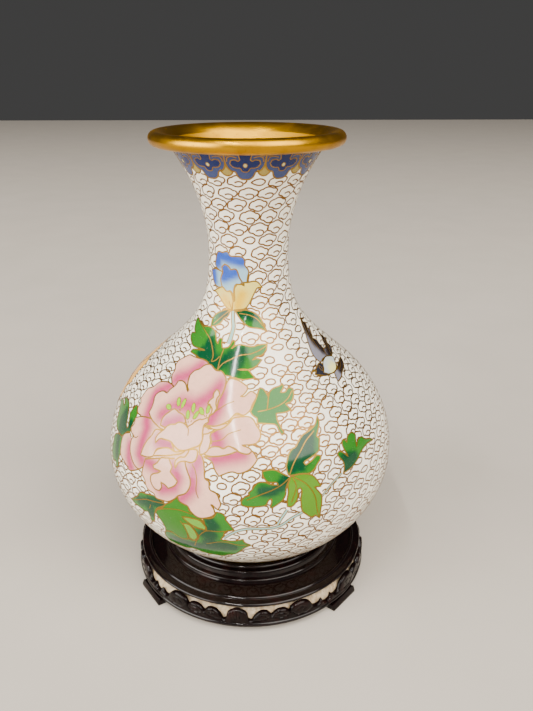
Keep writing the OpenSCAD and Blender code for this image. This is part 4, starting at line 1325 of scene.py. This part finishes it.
def carving(edge):
    """How deep each spot of a carved panel lies: rounded at its edge, with grooves between the lobes."""
    grooves = []
    for hand in (-1, 1):
        for line in GROOVES:
            grooves.append([(hand * across, APRON_LOW + up) for across, up in line])
    for a in (-3.2, -1.6, 0, 1.6, 3.2):
        grooves.append([(a * 0.5, APRON_LOW + 0.8), (a, APRON_LOW + APRON_H * (0.94 - 0.06 * abs(a)))])
    scale = np.array([math.radians(RING_R), 1.0])

    def depth(spots):
        level = np.zeros(len(spots))
        near = gap_to(spots * scale, edge * scale)
        level -= 0.7 * (1 - smoothstep(0.0, 0.75, near)) ** 2
        for line in grooves:
            curve = even_points(smooth_line(line, False), 14)
            gap = gap_to(spots * scale, curve * scale)
            level -= 0.45 * (1 - smoothstep(0.0, 0.5, gap))
        swell = 0.5 * np.cos(np.radians(spots[:, 0] * 11)) * 0.4
        return level + swell * (near > 0.8) * smoothstep(0.8, 2.5, near)
    return depth


def gap_to(points, line):
    """Distance from flat points to a flat line."""
    starts, along = line[:-1], np.diff(line, axis=0)
    t = ((points[:, None] - starts) * along).sum(2) / np.maximum(1e-9, (along ** 2).sum(1))
    foot = starts + np.clip(t, 0, 1)[..., None] * along
    return np.linalg.norm(points[:, None] - foot, axis=2).min(1)


def make_aprons():
    outline = apron_outline()
    top_edge = outline[:-APRON_STEPS]
    face = around(RING_R - 0.3)
    step = 0.42
    for name, facing in (("front", 0), ("right", 90), ("back", 180), ("left", 270)):
        stock = Stock()
        slab(stock, outline, face, 0.0, 2.1, step, (1, 1, 1), carving(top_edge))
        turn_stock(stock, facing + STAND_TURN)
        stock.make("apron_" + name, CARVED_LACQUER, "stand", ["apron_" + name], "lacquered_wood", 60)


def turn_stock(stock, degrees):
    a = math.radians(degrees)
    turn = np.array([[math.cos(a), -math.sin(a), 0], [math.sin(a), math.cos(a), 0], [0, 0, 1]])
    stock.places = [p @ turn.T for p in stock.places]


FOOT_ANGLE = 53                                   # from the front to the middle of a front foot
FOOT_FACING = {"front_right": FOOT_ANGLE, "back_right": 180 - FOOT_ANGLE,
               "back_left": 180 + FOOT_ANGLE, "front_left": -FOOT_ANGLE}
FOOT_REACH = 7                                    # how far a foot reaches in under the base ring
FOOT_OUT = 1.2                                    # how far a foot stands out past the base ring


def make_feet():
    under = RING_LOW.z
    inner = -(RING_R - FOOT_REACH)
    profile = [(-(RING_R + FOOT_OUT), 0), (inner, 0), (inner, under), (-RING_R, under),
               (-(RING_R + 0.2), under + 0.8), (-(RING_R + FOOT_OUT), 1.2)]
    for name, facing in FOOT_FACING.items():
        bpy.ops.object.select_all(action="DESELECT")
        bpy.ops.mesh.primitive_cylinder_add(vertices=len(profile), radius=1.0, depth=1.0)
        foot = bpy.context.active_object
        foot.name = "foot_" + name
        turn = Matrix.Rotation(math.radians(facing + FOOT_TURN), 4, "Z")
        corners = sorted(foot.data.vertices, key=lambda v: (round(v.co.z, 3), math.atan2(v.co.y, v.co.x)))
        for i, vertex in enumerate(corners):
            y, z = profile[i % len(profile)]
            x = -FOOT_W / 2 if i < len(profile) else FOOT_W / 2
            vertex.co = turn @ Vector((x * MM, y * MM, z * MM))
        bpy.ops.object.mode_set(mode="EDIT")
        bpy.ops.mesh.select_all(action="SELECT")
        bpy.ops.mesh.normals_make_consistent(inside=False)
        bpy.ops.mesh.bevel(offset=0.35 * MM, segments=3, affect="EDGES")
        bpy.ops.object.mode_set(mode="OBJECT")
        settle(foot, CARVED_LACQUER, "stand", ["foot_" + name], 35)


def make_stand():
    steps = 192
    edge = 0.9
    top = [(RECESS_R, SEAT_Z), (RECESS_R, TOP_Z + 1.9), (SEAT_R - 1.0, TOP_Z + 1.9)]
    top += [(SEAT_R + 1.2, TOP_Z + 1.2), (BEAD_C - 1.5, TOP_Z + 0.3)]
    top += arc((BEAD_C, TOP_Z + 0.05), 0.95, 175, 5, 10)
    top += [(BEAD_C + 1.2, TOP_Z - 0.05), (BORDER_R - 1.4, TOP_Z + 0.05)]
    top += arc((BORDER_R - edge, TOP_Z - edge), edge, 80, -75, 12)
    top += [(BORDER_R - 3.0, TOP_Z - 1.8), (PANEL_R, TOP_Z - 1.8), (PANEL_R, SEAT_Z)]
    turned("stand_top", top, steps, LACQUER, "stand", ["stand_top"], 40)
    low = TOP_Z + 2.0
    step = (CREST_Z - low) / 3
    ring = [(RECESS_R, low - 0.1), (SEAT_R - 1.0, low - 0.1)]
    ring += arc((SEAT_R - 1.8, low + 0.5 * step), 0.8, -50, 105, 8)
    ring += [(SEAT_R - 3.0, low + 0.95 * step)]
    ring += arc((SEAT_R - 4.2, low + 1.7 * step), 0.8, -30, 110, 8)
    ring += [(SEAT_R - 5.4, low + 2.1 * step)]
    ring += arc((CREST_R, CREST_Z - 0.9), 0.9, -10, 150, 10)
    ring += [(RECESS_R + 1.4, CREST_Z - 0.6 * step), (RECESS_R, CREST_Z - 1.5 * step)]
    turned("stand_seat_ring", ring, steps, LACQUER, "stand", ["stand_seat_ring"], 40)
    half = (RING_HIGH.z - RING_LOW.z) / 2
    base = [(RING_R - RING_W, RING_LOW.z)]
    base += arc((RING_R - half, RING_LOW.z + half), half, -88, 88, 16)
    base += [(RING_R - RING_W, RING_HIGH.z)]
    turned("stand_base_ring", base, steps, LACQUER, "stand", ["stand_base_ring"], 40)
    waist_r = WAIST_HIGH.x
    waist = [(WAIST_IN, WAIST_LOW.z), (waist_r, WAIST_LOW.z)]
    waist += bezier([(waist_r, WAIST_LOW.z), (waist_r, 8.5), (waist_r - 0.6, 11.2),
                     (waist_r - 4.0, WAIST_HIGH.z)], np.linspace(0, 1, 10)[1:]).tolist()
    waist += [(WAIST_IN, WAIST_HIGH.z)]
    turned("stand_waist", waist, steps, PALE_WOOD, "stand", ["stand_waist"], 40)
    make_aprons()
    make_feet()


make_vase()
make_stand()

# CAD parts that keep their own shape
KEPT = {"copper_belly": COPPER, "copper_neck": MOUTH_GILT_PAINTED_LIGHT, "base_disc": COPPER, "inner_enamel": TURQUOISE,
        "base_enamel": TURQUOISE, "foot_ring": GILT, "stand_panel": LACQUER}
for node, material in KEPT.items():
    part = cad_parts[node]
    part.data.materials.clear()
    part.data.materials.append(material)


# ---------------------------------------------------------------- floor, light and camera
def make_floor():
    bpy.ops.object.select_all(action="DESELECT")
    bpy.ops.mesh.primitive_plane_add(size=6.0, location=(0, 0, 0))
    floor = bpy.context.active_object
    floor.name = "floor"
    floor.data.materials.append(pale_floor())


def soft_light(name, place, target, width, height, power, colour=(1, 1, 1)):
    data = bpy.data.lights.new(name, "AREA")
    data.shape = "RECTANGLE"
    data.size = width
    data.size_y = height
    data.energy = power
    data.color = colour
    lamp = bpy.data.objects.new(name, data)
    lamp.location = place
    lamp.rotation_euler = (Vector(target) - Vector(place)).to_track_quat("-Z", "Y").to_euler()
    bpy.context.collection.objects.link(lamp)
    return lamp


def make_studio():
    world = bpy.data.worlds.new("studio")
    world.use_nodes = True
    nodes, links = world.node_tree.nodes, world.node_tree.links
    place = nodes.new("ShaderNodeTexCoord")
    split = nodes.new("ShaderNodeSeparateXYZ")
    depth = nodes.new("ShaderNodeMapRange")
    depth.inputs["From Min"].default_value = -0.35
    depth.inputs["From Max"].default_value = 0.55
    depth.inputs["To Min"].default_value = 0.34
    depth.inputs["To Max"].default_value = 0.06
    links.new(place.outputs["Generated"], split.inputs["Vector"])
    links.new(split.outputs["Y"], depth.inputs["Value"])
    links.new(depth.outputs["Result"], nodes["Background"].inputs["Strength"])
    nodes["Background"].inputs["Color"].default_value = (0.94, 0.93, 0.92, 1)
    bpy.context.scene.world = world
    soft_light("ceiling_panel", (1.2, -1.5, 2.0), (0, 0, 0.1), 2.4, 2.8, 185, (1.0, 0.95, 0.87))
    soft_light("ceiling_tube", (-0.52, -1.9, 2.0), (-0.52, -1.9, 0.0), 0.05, 2.8, 75, (1.0, 0.97, 0.92))
    soft_light("left_panel", (-2.4, -1.3, 1.1), (0, 0, 0.1), 2.6, 2.2, 185, (1.0, 0.97, 0.91))


CAMERA_PLACE = (0.0, -0.2997, 0.24089)
CAMERA_LENS = 34.94
CAMERA_DOWN = 0.4017                              # slope of the view below level, in radians
CAMERA_SIDE = 0.02653                             # turn of the view towards +X, in radians


def make_camera():
    data = bpy.data.cameras.new("camera")
    data.sensor_width = 36.0
    data.lens = CAMERA_LENS
    data.clip_start = 0.01
    camera = bpy.data.objects.new("camera", data)
    camera.location = CAMERA_PLACE
    level = math.cos(CAMERA_DOWN)
    ahead = Vector((math.sin(CAMERA_SIDE) * level, math.cos(CAMERA_SIDE) * level, -math.sin(CAMERA_DOWN)))
    camera.rotation_euler = ahead.to_track_quat("-Z", "Y").to_euler()
    bpy.context.collection.objects.link(camera)
    bpy.context.scene.camera = camera


make_floor()
make_studio()
make_camera()
